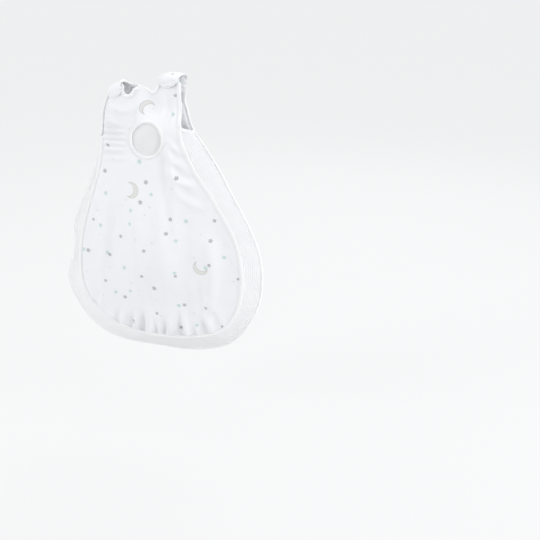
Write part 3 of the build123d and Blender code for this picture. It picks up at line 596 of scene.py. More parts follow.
class Graph:
    """Node tree that grows node by node."""

    def __init__(self, tree):
        self.tree = tree

    def feed(self, socket, value):
        """Gives an input a wire, a number or a tuple."""
        if isinstance(value, Wire):
            self.tree.links.new(value.socket, socket)
        else:
            socket.default_value = value

    def add(self, kind, inputs=None, output=0, **settings):
        """New node with these settings and inputs; returns one of its outputs."""
        node = self.tree.nodes.new(kind)
        for key, value in settings.items():
            setattr(node, key, value)
        for key, value in (inputs or {}).items():
            self.feed(node.inputs[key], value)
        return Wire(self, node.outputs[output])

    def math(self, operation, *values):
        return self.add("ShaderNodeMath", dict(enumerate(values)), operation=operation)

    def vector(self, operation, *values):
        return self.add("ShaderNodeVectorMath", dict(enumerate(values)), operation=operation)

    def split(self, vector):
        """The three parts of a vector."""
        parts = self.add("ShaderNodeSeparateXYZ", {0: vector}).socket.node.outputs
        return [Wire(self, part) for part in parts]

    def mix(self, factor, a, b):
        """Colour b over colour a."""
        a, b = ((*colour, 1) if isinstance(colour, tuple) else colour for colour in (a, b))
        return self.add("ShaderNodeMix", {0: factor, 6: a, 7: b}, 2, data_type="RGBA")

    def noise(self, place, scale, detail=2.0):
        return self.add("ShaderNodeTexNoise", {"Scale": scale, "Detail": detail, "Vector": place}, "Fac")

    def random(self, place):
        """Random numbers of each cell, as three wires."""
        inputs = {"Vector": place}
        return self.split(self.add("ShaderNodeTexWhiteNoise", inputs, "Color", noise_dimensions="3D"))

    def object_space(self):
        return self.add("ShaderNodeTexCoord", output="Object")

    def cloth_space(self):
        """Flat cloth coordinates in mm."""
        return self.vector("MULTIPLY", self.add("ShaderNodeUVMap", uv_map="cloth"), (1 / MM, 1 / MM, 0.0))

    def weave(self, place, pitch):
        """Plain weave height from two crossed waves, pitch in mm."""
        x, y, _ = self.split(place)
        return self.math("SINE", x * (TAU / pitch)) * self.math("SINE", y * (TAU / pitch))

    # masks for the print, in mm
    def edge(self, value, soft=0.35):
        """1 where value is below 0, with a soft border."""
        inputs = {"Value": value, "From Min": soft, "From Max": -soft, "To Min": 0.0, "To Max": 1.0}
        return self.add("ShaderNodeMapRange", inputs, interpolation_type="SMOOTHSTEP")

    def radius(self, x, y):
        return self.math("SQRT", x * x + y * y)

    def star(self, x, y, radius):
        """Five-pointed star about the origin."""
        sector = TAU / 5
        turn = self.math("ARCTAN2", y, x) / sector
        angle = self.math("ABSOLUTE", turn - self.math("ROUND", turn)) * sector
        length = self.radius(x, y)
        across_tip = length * self.math("SINE", angle)
        along_tip = length * self.math("COSINE", angle)
        s, c = math.sin(sector / 2), math.cos(sector / 2)
        rise = along_tip * (STAR_NOTCH * s) + across_tip * (1 - STAR_NOTCH * c)
        return self.edge(rise - radius * (STAR_NOTCH * s), STAR_BORDER)

    def crescent(self, x, y, radius):
        """Crescent about the origin that opens to +x; and its outline."""
        outer = self.radius(x, y) - radius
        inner = self.radius(x - radius * MOON_SHIFT, y) - radius * MOON_BITE
        gap = self.math("MAXIMUM", outer, inner * -1.0)
        body = self.edge(gap)
        return body, body - self.edge(gap + MOON_RIM)

    def turned(self, x, y, angle):
        c, s = self.math("COSINE", angle), self.math("SINE", angle)
        return x * c + y * s, y * c - x * s

    def scattered(self, place, cell, seed, low, high, share):
        """Stars of random size and turn, one to a cell of the cloth."""
        scaled = self.vector("DIVIDE", place, (cell, cell, 1.0))
        scaled = self.vector("ADD", scaled, (seed, seed * 1.7, 0.0))
        index = self.vector("FLOOR", scaled)
        r1, r2, r3 = self.random(self.vector("ADD", index, (0.5, 0.5, seed)))
        q1, q2, _ = self.random(self.vector("ADD", index, (0.5, 0.5, seed + 7.3)))
        local_x, local_y, _ = self.split(self.vector("SUBTRACT", scaled, index))
        margin = high / cell
        x = (local_x - (r1 * (1 - 2 * margin) + margin)) * cell
        y = (local_y - (r2 * (1 - 2 * margin) + margin)) * cell
        x, y = self.turned(x, y, r3 * TAU)
        size = q1 * (high - low) + low
        ink = self.star(x, y, size) * (1.0 - self.star(x, y, size * CORE_SIZE) * CORE_PALER)
        return ink * self.math("LESS_THAN", q2, share)


class Shader(Graph):
    """Procedural material round one Principled node."""

    def __init__(self, name, colour, roughness, specular, sheen=0.0, coat=0.0):
        self.material = bpy.data.materials.new(name)
        self.material.use_nodes = True
        self.material.diffuse_color = (*colour, 1)
        super().__init__(self.material.node_tree)
        self.surface = self.tree.nodes["Principled BSDF"]
        for key, value in (
            ("Base Color", (*colour, 1)), ("Roughness", roughness), ("Specular IOR Level", specular),
            ("Sheen Weight", sheen), ("Sheen Roughness", 0.6), ("Coat Weight", coat),
        ):
            self.surface.inputs[key].default_value = value

    def colour(self, wire):
        self.feed(self.surface.inputs["Base Color"], wire)

    def bump(self, *layers):
        """Bump from (height, depth in mm) pairs."""
        below = {}
        for height, depth in layers:
            inputs = {"Strength": 1.0, "Distance": depth * MM, "Height": height, **below}
            below = {"Normal": self.add("ShaderNodeBump", inputs)}
        self.feed(self.surface.inputs["Normal"], below["Normal"])


WHITE = (0.86, 0.867, 0.888)
GREY_INK = (0.40, 0.39, 0.42)
MINT_INK = (0.52, 0.67, 0.63)
FAINT_INK = (0.72, 0.72, 0.73)
MOON_INK = (0.74, 0.73, 0.71)
MOON_EDGE = (0.62, 0.61, 0.60)


def darker(colour, share):
    """The colour times a share."""
    return tuple(share * part for part in colour)


def printed_cotton(name, moons, seed):
    """White cotton with stars and crescents; moons are (x, z, radius, turn) on the cloth."""
    shade = Shader(name, WHITE, 0.82, specular=0.2, sheen=0.15)
    place = shade.cloth_space()
    colour = shade.mix(shade.noise(place, 0.02), WHITE, darker(WHITE, 0.975))
    for ink, cell, offset, low, high, share in (
        (FAINT_INK, 62.0, 3.1, 2.0, 3.2, 0.85),
        (MINT_INK, 76.0, 5.7, 4.4, 6.4, 0.92),
        (GREY_INK, 70.0, 1.3, 4.0, 6.2, 0.92),
    ):
        colour = shade.mix(shade.scattered(place, cell, seed + offset, low, high, share), colour, ink)
    x, y, _ = shade.split(place)
    for mx, mz, radius, turn in moons:
        body, rim = shade.crescent(*shade.turned(x - mx, y - mz, turn), radius)
        colour = shade.mix(rim, shade.mix(body, colour, MOON_INK), MOON_EDGE)
    shade.colour(colour)
    shade.bump((shade.weave(place, 0.7), 0.05), (shade.noise(place, 0.16, 3.0), 0.5))
    return shade.material


def plain_cloth(name, colour, roughness, pitch, lumps=0.25, sheen=0.15):
    """Plain woven or knitted cloth."""
    shade = Shader(name, colour, roughness, 0.2, sheen=sheen)
    place = shade.cloth_space()
    shade.colour(shade.mix(shade.noise(place, 0.03), colour, darker(colour, 0.96)))
    shade.bump((shade.weave(place, pitch), 0.06), (shade.noise(place, 0.2, 3.0), lumps))
    return shade.material


def moulded(name, colour, roughness, scale, depth, coat=0.0):
    """Moulded plastic or lacquered metal, with fine flow marks."""
    shade = Shader(name, colour, roughness, 0.4, coat=coat)
    place = shade.object_space()
    shade.colour(shade.mix(shade.noise(place, scale), colour, darker(colour, 0.93)))
    shade.bump((shade.noise(place, scale * 3), depth))
    return shade.material


MOONS = [(-46, -58, 14.5, -0.85), (-82, -226, 17.0, 3.0), (62, -392, 17.0, 1.05)]
BACK_MOONS = [
    (-20, -170, 18.0, 0.6), (-150, -330, 18.0, 2.2), (60, -400, 18.0, -0.8), (-90, -520, 18.0, 1.2),
]
COTTON = printed_cotton("printed_cotton", MOONS, 0.0)
BACK_COTTON = printed_cotton("printed_cotton_back", BACK_MOONS, 11.0)
STRAP_COTTON = printed_cotton("printed_cotton_strap", [], 31.0)
LINING = plain_cloth("lining_jersey", (0.92, 0.92, 0.935), 0.9, 1.1)
BINDING = plain_cloth("bias_tape", (0.90, 0.90, 0.905), 0.7, 0.5, lumps=0.15, sheen=0.2)
MESH_YARN = plain_cloth("spacer_mesh_yarn", (0.94, 0.945, 0.95), 0.85, 0.6, lumps=0.1)
# The band's backing is a little darker than its yarn: painted shade in the holes of the net.
MESH_BACK_PAINTED_SHADE = plain_cloth("spacer_mesh_base_painted_shade", (0.885, 0.895, 0.91), 0.9, 0.8, lumps=0.1)
# The window's backing is a lighter copy of the band's backing: painted light in the recessed window.
WINDOW_BACK_PAINTED_LIGHT = plain_cloth("window_mesh_base_painted_light", (0.92, 0.93, 0.945), 0.9, 0.8, lumps=0.1)
THREAD = plain_cloth("sewing_thread", (0.80, 0.80, 0.81), 0.6, 0.4, lumps=0.02)
SNAP_PLASTIC = moulded("snap_plastic", (0.86, 0.86, 0.86), 0.3, 90.0, 0.02, coat=0.2)
ZIP_PLASTIC = moulded("zip_plastic", (0.84, 0.84, 0.83), 0.5, 400.0, 0.05)
ZIP_METAL = moulded("zip_lacquer", (0.80, 0.80, 0.80), 0.28, 120.0, 0.02, coat=0.4)

SNAP_PARTS = ("backing", "stud", "socket", "cap")
CAD_LOOKS = {
    **{f"{side}_snap_{part}": SNAP_PLASTIC for side in TABS for part in SNAP_PARTS},
    **{f"zip_{part}": ZIP_PLASTIC for part in ("stringer_outer", "stringer_inner", "stops")},
    **{f"zip_{part}": ZIP_METAL for part in ("slider", "pull")},
}
for node, material in CAD_LOOKS.items():
    materials = frame["nodes"][node].data.materials
    materials.clear()
    materials.append(material)


# ------------------------------------------------------------------ front
SEAM_TUCK = 1.4  # quilt's edge inside the binding
SEAM_THICK, FULL_THICK = 2.9, 4.0  # a quilt's thickness at its seams and away from them
SNAP_THICK, SNAP_DENT = 1.0, 2.1  # the front quilt's thickness under a press stud, and how deep it lies
EDGE_ROLL = 1.6  # how far the left armhole's edge rolls back
SNAPS = ((RIGHT_X, -8.0), (LEFT_X, -24.0))  # x and z of the press studs
SNAP_RINGS = ((2.0, 6), (4.6, 14), (5.8, 16), (7.4, 18))  # radius and count of the points round each


def snap_dimple(flat):
    """How far the quilt is pinched in round the press studs, from 0 to 1."""
    nearest = np.min([np.hypot(*(flat - snap).T) for snap in SNAPS], axis=0)
    return 1 - smooth(nearest, 5.4, 7.4)


def rolled_back(flat):
    """How far the front's left edge rolls back above the mesh band."""
    distance, share = along(flat, FRONT_LEFT_SIDE[::6])
    near = 1 - smooth(np.abs(distance), 0, 15)
    return EDGE_ROLL * near**2 * smooth(share, 0, 0.25) * (flat[:, 0] < MIDDLE)


def front_points(flat, lift, deeper=0.0):
    """Points of the front's outer face, in space."""
    x, z = flat[:, 0], flat[:, 1]
    return np.stack([x, front_depth(x, z) - lift + deeper + rolled_back(flat), z], 1)


def front_edge_points(line, deeper):
    """Points along a seam of the front."""
    return front_points(line, add_folds(line, FRONT_FOLDS, FRONT_SEED, np.zeros(len(line))), deeper)


def back_points(flat, lift, deeper=0.0):
    """Points of the back's outer face, in space."""
    x, z = flat[:, 0], flat[:, 1]
    return np.stack([x, back_depth(x, z) + lift - deeper, z], 1)


def thickness(sheet):
    """A quilt's thickness, thinner towards its seams."""
    return SEAM_THICK + (FULL_THICK - SEAM_THICK) * smooth(sheet.edge, 0, 9)


def quilt(name, sheet, outer, thick, material, replaced, rim, side=1):
    """Padded panel below an outer face."""
    verts, faces, uv = padded_sheet(sheet, outer, thick, rim, side)
    piece = make_piece(name, verts, faces, material, replaced, uv)


WINDOW_EDGE = circle(RING, RING_MID, 56)
rings = [circle(snap, radius, count) for snap in SNAPS for radius, count in SNAP_RINGS]
front = Sheet(inset(FRONT_LOOP, SEAM_TUCK), [WINDOW_EDGE], 5.0, rings)
front_lift = add_folds(front.flat, FRONT_FOLDS, FRONT_SEED, front.edge)
front_outer = front_points(front.flat, front_lift)
pinch = snap_dimple(front.flat)
front_outer[:, 1] += SNAP_DENT * pinch
front_thick = thickness(front) * (1 - pinch) + SNAP_THICK * pinch
quilt("front_quilt", front, front_outer, front_thick, COTTON, ("front_panel", "front_wadding"), rim=0.8)


def nearest_lift(source, lift, targets):
    """Fold height of the nearest source points, weighted by distance."""
    tree = KDTree(len(source))
    for i, p in enumerate(source):
        tree.insert((p[0], p[1], 0), i)
    tree.balance()
    out = np.zeros(len(targets))
    for i, p in enumerate(targets):
        found = tree.find_n((p[0], p[1], 0), 4)
        weight = np.array([1 / (0.05 + f[2] ** 2) for f in found])
        out[i] = np.sum(weight * lift[[f[1] for f in found]]) / weight.sum()
    return out


# ------------------------------------------------------------------ linings
def below(loop, top):
    """Closed loop cut off straight at a height."""
    start = np.argmax((loop[:, 1] < top) & (np.roll(loop[:, 1], 1) >= top))
    loop = np.roll(loop, -start, axis=0)
    loop = loop[loop[:, 1] < top]
    return resample(np.concatenate([loop, loop[:1]]), 5.0)[:-1]


LINING_THICK = 0.9


def flat_area(sheet):
    """Area of a sheet's own cut, in square metres."""
    return abs(doubled_areas(sheet.flat, sheet.tris)).sum() / 2 * MM * MM


def flat_size(sheet):
    """Width and height of a sheet's own cut, in metres."""
    size = (sheet.flat.max(0) - sheet.flat.min(0)) * MM
    return float(size[0]), float(size[1])


def lining(panel, sheet, face, depth, side=1):
    """Thin sheet that hangs below the outer face of a panel."""
    under = face - normals_of(face, sheet.tris[:, ::side]) * depth
    verts, faces, uv = padded_sheet(sheet, under, np.full(len(under), LINING_THICK), 0.2, side)
    piece = make_piece(f"{panel}_lining_sheet", verts, faces, LINING, (f"{panel}_lining",), uv)
    flat_size(sheet)
    flat_area(sheet)


lining_sheet = Sheet(below(inset(FRONT_LOOP, 8.5), -56), [circle(RING, RING_OUTER + 1.0, 48)], 6.0)
lining_lift = nearest_lift(front.flat, front_lift, lining_sheet.flat)
lining("front", lining_sheet, front_points(lining_sheet.flat, lining_lift), depth=5.2)


# ------------------------------------------------------------------ back
ZIP_JOINTS = {j["name"]: j for j in frame["joints"]}
ZIP_DOWN = np.array(ZIP_JOINTS["zip_slide"]["axis"])[[0, 2]]
ZIP_DOWN /= np.linalg.norm(ZIP_DOWN)
ZIP_OUT = np.array([ZIP_DOWN[1], -ZIP_DOWN[0]])
ZIP_HEAD = np.array(ZIP_JOINTS["zip_pull_hinge"]["pos_m"])[[0, 2]] / MM - ZIP_DOWN * 6.0
ZIP_LENGTH = 184.0
ZIP_HALF = 6.0
ZIP_PAST = 6.0  # how far the slot runs past the chain's ends
ZIP_BOW = 0.3  # how far the slot's sides bow out


def zip_point(along_zip, beside):
    """Point along the zip from its head and beside it."""
    return ZIP_HEAD + ZIP_DOWN * along_zip + ZIP_OUT * beside


def zip_slot(half):
    """Rounded slot round the chain."""
    ends = []
    for middle, turn in ((ZIP_LENGTH + ZIP_PAST - half, 0), (-ZIP_PAST + half, math.pi)):
        for a in np.linspace(-math.pi / 2, math.pi / 2, 9):
            ends.append(zip_point(middle + half * math.cos(a + turn), half * math.sin(a + turn)))
    loop = resample(np.array([*ends, ends[0]]), 4.0)[:-1]
    rel = loop - loop.mean(0)
    bow = np.cos(np.clip(rel @ ZIP_DOWN / ZIP_LENGTH, -0.5, 0.5) * math.pi) * np.sign(rel @ ZIP_OUT)
    loop = loop + ZIP_BOW * bow[:, None] * ZIP_OUT
    return loop if signed_area(loop) > 0 else loop[::-1]


def zip_clear(flat):
    """0 at the zip and 1 well away from it."""
    rel = flat - ZIP_HEAD
    down, out = rel @ ZIP_DOWN, rel @ ZIP_OUT
    gap = np.hypot(np.maximum(np.maximum(-down, down - ZIP_LENGTH), 0), np.maximum(abs(out) - ZIP_HALF, 0))
    return smooth(gap, 4, 26)


back = Sheet(inset(BACK_LOOP, 1.0), [zip_slot(half=6.4)], 6.0)
back_lift = add_folds(back.flat, BACK_FOLDS, BACK_SEED, back.edge) * zip_clear(back.flat)
quilt("back_quilt", back, back_points(back.flat, back_lift), thickness(back), BACK_COTTON,
      ("back_panel", "back_wadding"), rim=0.7, side=-1)

lining_sheet = Sheet(below(inset(BACK_LOOP, 4.0), -50), [zip_slot(half=6.8)], 8.0)
lining_lift = nearest_lift(back.flat, back_lift, lining_sheet.flat)
lining("back", lining_sheet, back_points(lining_sheet.flat, lining_lift), depth=5.0, side=-1)


# ------------------------------------------------------------------ mesh band
COLUMNS, ROWS = 310, 10  # holes round the band and across it
STEPS_ROUND, STEPS_UP = 300, 12  # the same for the squares of its backing
BAND_LENGTH, BAND_WIDTH = 1500.0, 42.0  # of its cloth
BAND_BACK_Y, BAND_FRONT_IN = -10.4, 4.2  # its edge at the back, and how far it lies behind the front's face


def moved_in(line, amount):
    """Open line of a clockwise outline moved towards its inside."""
    tangent = np.gradient(line, axis=0)
    return line + unit(np.stack([tangent[:, 1], -tangent[:, 0]], 1)) * amount


back_line = resample(moved_in(HEM, 1.2), 1.0)
front_line = resample(moved_in(FRONT_SEAM, 1.6), 1.0)


def line_at(line, share):
    """Points at shares of a line's length."""
    place = np.clip(np.asarray(share), 0, 1) * (len(line) - 1)
    low = np.minimum(place.astype(int), len(line) - 2)
    return line[low] + (line[low + 1] - line[low]) * (place - low)[:, None]


def band_points(share, height, deeper=0.0):
    """Points of the mesh band, which puffs out: share round it, height from the back seam to the front."""
    a, b = line_at(back_line, share), line_at(front_line, share)
    tangent = line_at(back_line, share + 0.004) - line_at(back_line, share - 0.004)
    out = unit(np.stack([-tangent[:, 1], tangent[:, 0]], 1))
    flat = a + (b - a) * height[:, None]
    y_front = front_depth(b[:, 0], b[:, 1]) + BAND_FRONT_IN
    around = share * BAND_LENGTH
    puff = 4.5 + 1.5 * np.sin(around / 37.0) + 1.2 * np.sin(around / 19.0 + 1.0)
    flat = flat + out * ((puff * np.sin(math.pi * height)) - deeper)[:, None]
    return np.stack([flat[:, 0], BAND_BACK_Y + (y_front - BAND_BACK_Y) * height, flat[:, 1]], 1)


def hexagons(columns, rows, hole):
    """Honeycomb net in (column, row) units: points, the quads round each hole, and the holes' middles.

    hole is a hole's share of its cell's width.
    """
    corner = np.array([(0, 2 / 3), (-0.5, 1 / 3), (-0.5, -1 / 3), (0, -2 / 3), (0.5, -1 / 3), (0.5, 1 / 3)])
    i, j = np.meshgrid(np.arange(columns), np.arange(rows))
    centre = np.stack([i + 0.5 * (j % 2), j], -1).reshape(-1, 2)
    outer = centre[:, None] + corner[None]
    inner = centre[:, None] + corner[None] * hole
    key = np.round(outer.reshape(-1, 2) * (2, 3)).astype(np.int64) + 10
    code = key[:, 0] * 100003 + key[:, 1]
    _, first, index = np.unique(code, return_index=True, return_inverse=True)
    shared = outer.reshape(-1, 2)[first]
    index = index.reshape(-1, 6)
    holes = np.arange(len(centre) * 6).reshape(-1, 6) + len(shared)
    quads = np.stack([index, np.roll(index, -1, 1), np.roll(holes, -1, 1), holes], -1).reshape(-1, 4)
    return np.concatenate([shared, inner.reshape(-1, 2)]), quads, centre


def band_layer(name, share, height, deeper, quads, thick, material, replaced=()):
    """One layer of the side band, over a net of quads."""
    points = band_points(share, height, deeper)
    normal = normals_of(points, np.concatenate([quads[:, :3], quads[:, [0, 2, 3]]]))
    half_way = len(points) // 2
    if normal[half_way] @ (points[half_way] - BAG_MIDDLE) < 0:
        normal = -normal
    verts, faces = shell(points, quads, normal, thick)
    uv = np.stack([share * BAND_LENGTH, height * BAND_WIDTH], 1)
    return make_piece(name, verts, faces, material, replaced, np.concatenate([uv, uv]))


net, net_quads, _ = hexagons(COLUMNS, ROWS, hole=0.6)
share = (net[:, 0] + 0.5) / (COLUMNS + 0.5)
height = (net[:, 1] + 2 / 3) / (ROWS - 1 + 4 / 3)
mesh_band = band_layer("mesh_side_band", share, height, 0.0, net_quads, 0.9, MESH_YARN, ("mesh_band",))

i, j = np.meshgrid(np.arange(STEPS_ROUND + 1), np.arange(STEPS_UP + 1))
share, height = (i / STEPS_ROUND).ravel(), (j / STEPS_UP).ravel()
a = (j * (STEPS_ROUND + 1) + i)[:-1, :-1].ravel()
quads = np.stack([a, a + 1, a + STEPS_ROUND + 2, a + STEPS_ROUND + 1], 1)
band_backing = band_layer("mesh_side_band_backing", share, height, 1.2, quads, 1.0, MESH_BACK_PAINTED_SHADE)


# ------------------------------------------------------------------ chest window
PITCH = 2.9
ROW_PITCH = 0.87 * PITCH
net, quads, centres = hexagons(columns=30, rows=35, hole=0.5)
net = (net - centres.mean(0)) * (PITCH, ROW_PITCH)
keep = (np.hypot(*net.T)[quads] < RING_MID + 0.3).all(1)
used, index = np.unique(quads[keep], return_inverse=True)
net, quads = net[used] + RING, index.reshape(-1, 4)


def window_points(flat, deeper):
    """The window sits behind the quilt's face and swells a little at its middle."""
    near = np.hypot(*(flat - RING).T) / RING_MID
    swell = 1.6 * (1 - near**2) + 0.5 * np.sin(flat[:, 0] / 5.5) * (1 - near)
    return np.stack([flat[:, 0], front_depth(flat[:, 0], flat[:, 1]) + deeper - swell, flat[:, 1]], 1)


verts, faces = shell(window_points(net, deeper=3.0), quads, np.array(FORWARDS), thickness=0.5)
chest_net = make_piece("chest_window_mesh", verts, faces, MESH_YARN, ("chest_mesh",),
                       np.concatenate([net, net]))
disc = Sheet(WINDOW_EDGE[::-1], [], 4.0)
disc_points = window_points(disc.flat, deeper=3.7)
verts, faces, uv = padded_sheet(disc, disc_points, np.full(len(disc_points), 0.7), rim=0.1)
chest_backing = make_piece("chest_window_backing", verts, faces, WINDOW_BACK_PAINTED_LIGHT, uv=uv)
2 * RING_MID * MM
2 * RING_MID * MM
flat_area(disc)

ring_path = front_edge_points(circle(RING, RING_MID, 84), deeper=1.9)
verts, faces, uv = sweep(ring_path, FORWARDS, oval(3.8, 3.3, count=16, power=2.3), closed=True)
make_piece("chest_window_ring", verts, faces, BINDING, ("chest_ring",), uv)


# ------------------------------------------------------------------ bindings and pipings
STITCH_PITCH, STITCH_LENGTH, STITCH_THICK = 3.0, 2.1, 0.26
STITCH_SINK = 0.1  # how far a stitch's ends lie below its line
STITCH_FULL = 0.28  # share of its length, either way from its middle, along which it is full


def stitches(points, normals):
    """Short raised stitches along a line of points, as one set of closed bodies."""
    normals = np.broadcast_to(normals, points.shape)
    run = run_along(points)

    def at(values, place):
        return np.array([np.interp(place, run, part) for part in values.T])

    verts, faces = [], []
    ring = [(math.cos(a), math.sin(a)) for a in np.arange(6) * TAU / 6]
    for c in np.arange(STITCH_PITCH, run[-1] - STITCH_PITCH / 2, STITCH_PITCH):
        place = at(points, c)
        ahead = at(points, c + 0.8) - place
        ahead /= np.linalg.norm(ahead) + 1e-9
        up = at(normals, c)
        up -= ahead * (up @ ahead)
        up /= np.linalg.norm(up) + 1e-9
        side = np.cross(up, ahead)
        start = len(verts)
        verts.append(place - ahead * STITCH_LENGTH / 2 - up * STITCH_SINK)
        for shift in (-STITCH_FULL, STITCH_FULL):
            middle = place + ahead * STITCH_LENGTH * shift
            verts += [middle + (side * a * 1.25 + up * b) * STITCH_THICK for a, b in ring]
        verts.append(place + ahead * STITCH_LENGTH / 2 - up * STITCH_SINK)
        for k in range(6):
            q = (k + 1) % 6
            faces.append((start, start + 1 + q, start + 1 + k))
            faces.append((start + 1 + k, start + 1 + q, start + 7 + q, start + 7 + k))
            faces.append((start + 7 + k, start + 7 + q, start + 13))
    return verts, faces


def sewn(name, rows, body="root"):
    """One piece for several rows of stitches; rows are (points, normals)."""
    verts, faces = [], []
    for points, normals in rows:
        more, these = stitches(points, normals)
        faces += [tuple(i + len(verts) for i in face) for face in these]
        verts += more
    make_piece(name, verts, faces, THREAD, body=body)


def beside(path, normal, out_by, up_by):
    """Line beside a path, moved along its out and normal directions, and its normals."""
    tangent = unit(np.gradient(path, axis=0))
    normal = square_to(np.asarray(normal), tangent)
    return path + np.cross(normal, tangent) * out_by + normal * up_by, normal


SEWN_ROWS = []
DRAWN_IN = 9  # length over which a binding narrows towards its ends


def bound(name, path, normal, profile, replaced, ends=(0.68, 0.68)):
    """Bias tape round an edge, drawn in at its ends to these shares of its width, and its stitches."""
    run = run_along(path)
    width = ends[0] + (1 - ends[0]) * smooth(run, 0, DRAWN_IN)
    width = width * (ends[1] + (1 - ends[1]) * smooth(run[-1] - run, 0, DRAWN_IN))
    verts, faces, uv = sweep(path, normal, profile, width=width)
    reach = -min(p[0] for p in profile)
    SEWN_ROWS.append(beside(path, normal, -0.72 * reach, max(p[1] for p in profile)))
    make_piece(name, verts, faces, BINDING, (replaced,), uv)


path = front_edge_points(resample(moved_in(FRONT_SEAM, 0.4), 5.0), deeper=1.9)
bound("front_seam_piping", path, FORWARDS, binding_profile(6.2, 3.1, 0.9), "front_piping")
path = back_points(resample(moved_in(HEM, 0.4), 5.0)[::-1], 0.0, deeper=2.7)
bound("hem_seam_piping", path, BACKWARDS, binding_profile(4.4, 3.4, 0.8), "hem_piping")

path = front_edge_points(resample(moved_in(NECK_FRONT, 0.4), 2.5), deeper=1.7)
under_strap = [(-97.5, -43.5, -10.5), (-94.0, -44.6, -10.2), (-91.0, -45.4, -11.2)]
path = spline(np.concatenate([under_strap, path[1:]]), 2.2)
bound("neck_binding_front_edge", path, FORWARDS, binding_profile(6.0, 2.7, 0.8), "neck_binding_front",
      (0.4, 0.68))


def rounded_corner(before, corner, after, reach):
    """Points of a quadratic curve that cuts a corner."""
    start = corner + (before - corner) / np.linalg.norm(before - corner) * reach
    end = corner + (after - corner) / np.linalg.norm(after - corner) * reach
    t = np.linspace(0, 1, 9)[:, None]
    return (1 - t) ** 2 * start + 2 * t * (1 - t) * corner + t**2 * end


def armhole(name, front_side, back_side, side, replaced):
    """Binding from the front strap down to the band, across its end and up the back."""
    strap_z = -5 if side > 0 else -27
    down = front_edge_points(resample(front_side[front_side[:, 1] < strap_z], 2.5), deeper=1.9)
    up = back_points(resample(back_side, 2.5), 0.0, deeper=2.0)
    corner, far = down[-1] + (0, 1.0, 0), up[0] - (0, 1.0, 0)
    first = rounded_corner(down[-4], corner, far, 7.0)
    second = rounded_corner(corner, far, up[3], 7.0)
    sag = (first[-1] + second[0]) / 2 - (0, 0, 1.2)
    top, root = down[0], up[-1]
    tucked = [top + (-side * 8.5, 0, 6.0), top + (-side * 3.0, 0, 3.6)]
    rooted = [root + (-side * 3.0, 0, 2.6), root + (-side * 9.0, 0, 4.6)]
    path = spline(np.concatenate([tucked, down[1:-4], first, [sag], second, up[4:-1], rooted]), 1.6)
    run = run_along(path)
    at = [run[np.argmin(np.linalg.norm(path - p, axis=1))] for p in (first[4], second[4])]
    roll = 0.0 if side > 0 else 0.3 * smooth(run, 4, 25)
    angle = roll + (math.pi / 2 - roll) * smooth(run, at[0] - 8, at[0] + 8)
    angle = angle + math.pi / 2 * smooth(run, at[1] - 8, at[1] + 8)
    normal = np.stack([np.sin(angle) * side, -np.cos(angle), np.zeros(len(path))], 1)
    if side < 0:
        path, normal = path[::-1], normal[::-1]
    bound(name, path, normal, binding_profile(6.0, 2.9, 0.9), replaced)


armhole("armhole_binding_right_edge", FRONT_RIGHT_SIDE, BACK_RIGHT_SIDE[::-1], 1, "armhole_binding_right")
armhole("armhole_binding_left_edge", FRONT_LEFT_SIDE[::-1], BACK_LEFT_SIDE, -1, "armhole_binding_left")


# ------------------------------------------------------------------ shoulder straps
STRAP_CROWN = 2.2  # half its thickness in the middle
EDGE_THINNER = 0.42  # how much of that its edges lack
TIP = 5.0  # length over which the tab's end thins out
SEAM_MARGIN = 3.2  # of the tab's stitches


def ruck(off, run):
    """Small ripples of a strap, off its middle and along it."""
    return 0.4 * np.sin(off * 0.5 + run * 0.16) + 0.3 * np.sin(run * 0.55 + off * 0.12)


class Strap:
    """Over-the-top strap and tab: points (y, z) of its middle and its edges (length, x) along it.

    Lengths are measured from the fold, which is nearest to tuck, with the tab beyond it.
    """

    def __init__(self, points, left_edge, right_edge, shear, tuck):
        self.line, self.shear = spline(points, 0.8), shear
        self.length = run_along(self.line)
        self.fold_at = self.length[np.argmin(np.hypot(*(self.line - tuck).T))]
        self.low = np.interp(self.length - self.fold_at, *np.array(left_edge, float).T)
        self.high = np.interp(self.length - self.fold_at, *np.array(right_edge, float).T)
        self.middle, self.half = (self.low + self.high) / 2, (self.high - self.low) / 2
        tangent = unit(np.gradient(self.line, axis=0))
        self.up = np.stack([tangent[:, 1], -tangent[:, 0]], 1)

    def rings(self):
        """Ring of points round each point of the middle, from the right edge on."""
        wide, high = np.array(oval(1.0, 1.0, 40, 2.6)).T
        flatter = 1 - EDGE_THINNER * np.abs(wide) ** 4
        ends = np.sqrt(np.clip((self.length[-1] - self.length) / TIP, 0.12, 1))
        ends = ends * np.clip(self.length / 2.0, 0.7, 1)
        rings = []
        for (y, z), (up_y, up_z), run, half, middle, end in zip(
            self.line, self.up, self.length, self.half, self.middle, ends
        ):
            off = wide * half
            crown = STRAP_CROWN * flatter * end * min(1.0, 0.3 + half / 9.0)
            lift = high * crown + ruck(off, run) * smooth(run, 3, 12)
            slant = self.shear * smooth(run, 4, 22) * off
            rings.append(np.stack([middle + off, y + up_y * lift, z + up_z * lift + slant], 1))
        return np.array(rings)

    def seam(self):
        """Line of stitches round the tab, on its outer face."""
        tab = self.length >= self.fold_at + 4.0
        outline = np.concatenate([
            np.stack([self.low[tab] + SEAM_MARGIN, self.length[tab]], 1),
            np.stack([self.high[tab] - SEAM_MARGIN, self.length[tab]], 1)[::-1],
        ])
        wide_enough = np.interp(outline[:, 1], self.length, self.half) > 4.5
        outline = outline[wide_enough & (outline[:, 1] < self.length[-1] - 3.0)]
        parts = (*self.line.T, *self.up.T, self.middle, self.half)
        row = []
        for x, run in spline(outline[::3], 1.0):
            y, z, up_y, up_z, middle, half = (np.interp(run, self.length, part) for part in parts)
            off = x - middle
            share = abs(off) / max(half, 1.0)
            crown = STRAP_CROWN * (1 - EDGE_THINNER * share**4) * (1 - share**2.6 * 0.25)
            crown *= math.sqrt(min(1.0, (self.length[-1] - run) / TIP))
            lift = crown + ruck(off, run) + 0.05
            row.append((x, y + up_y * lift, z + self.shear * off + up_z * lift))
        return np.array(row)


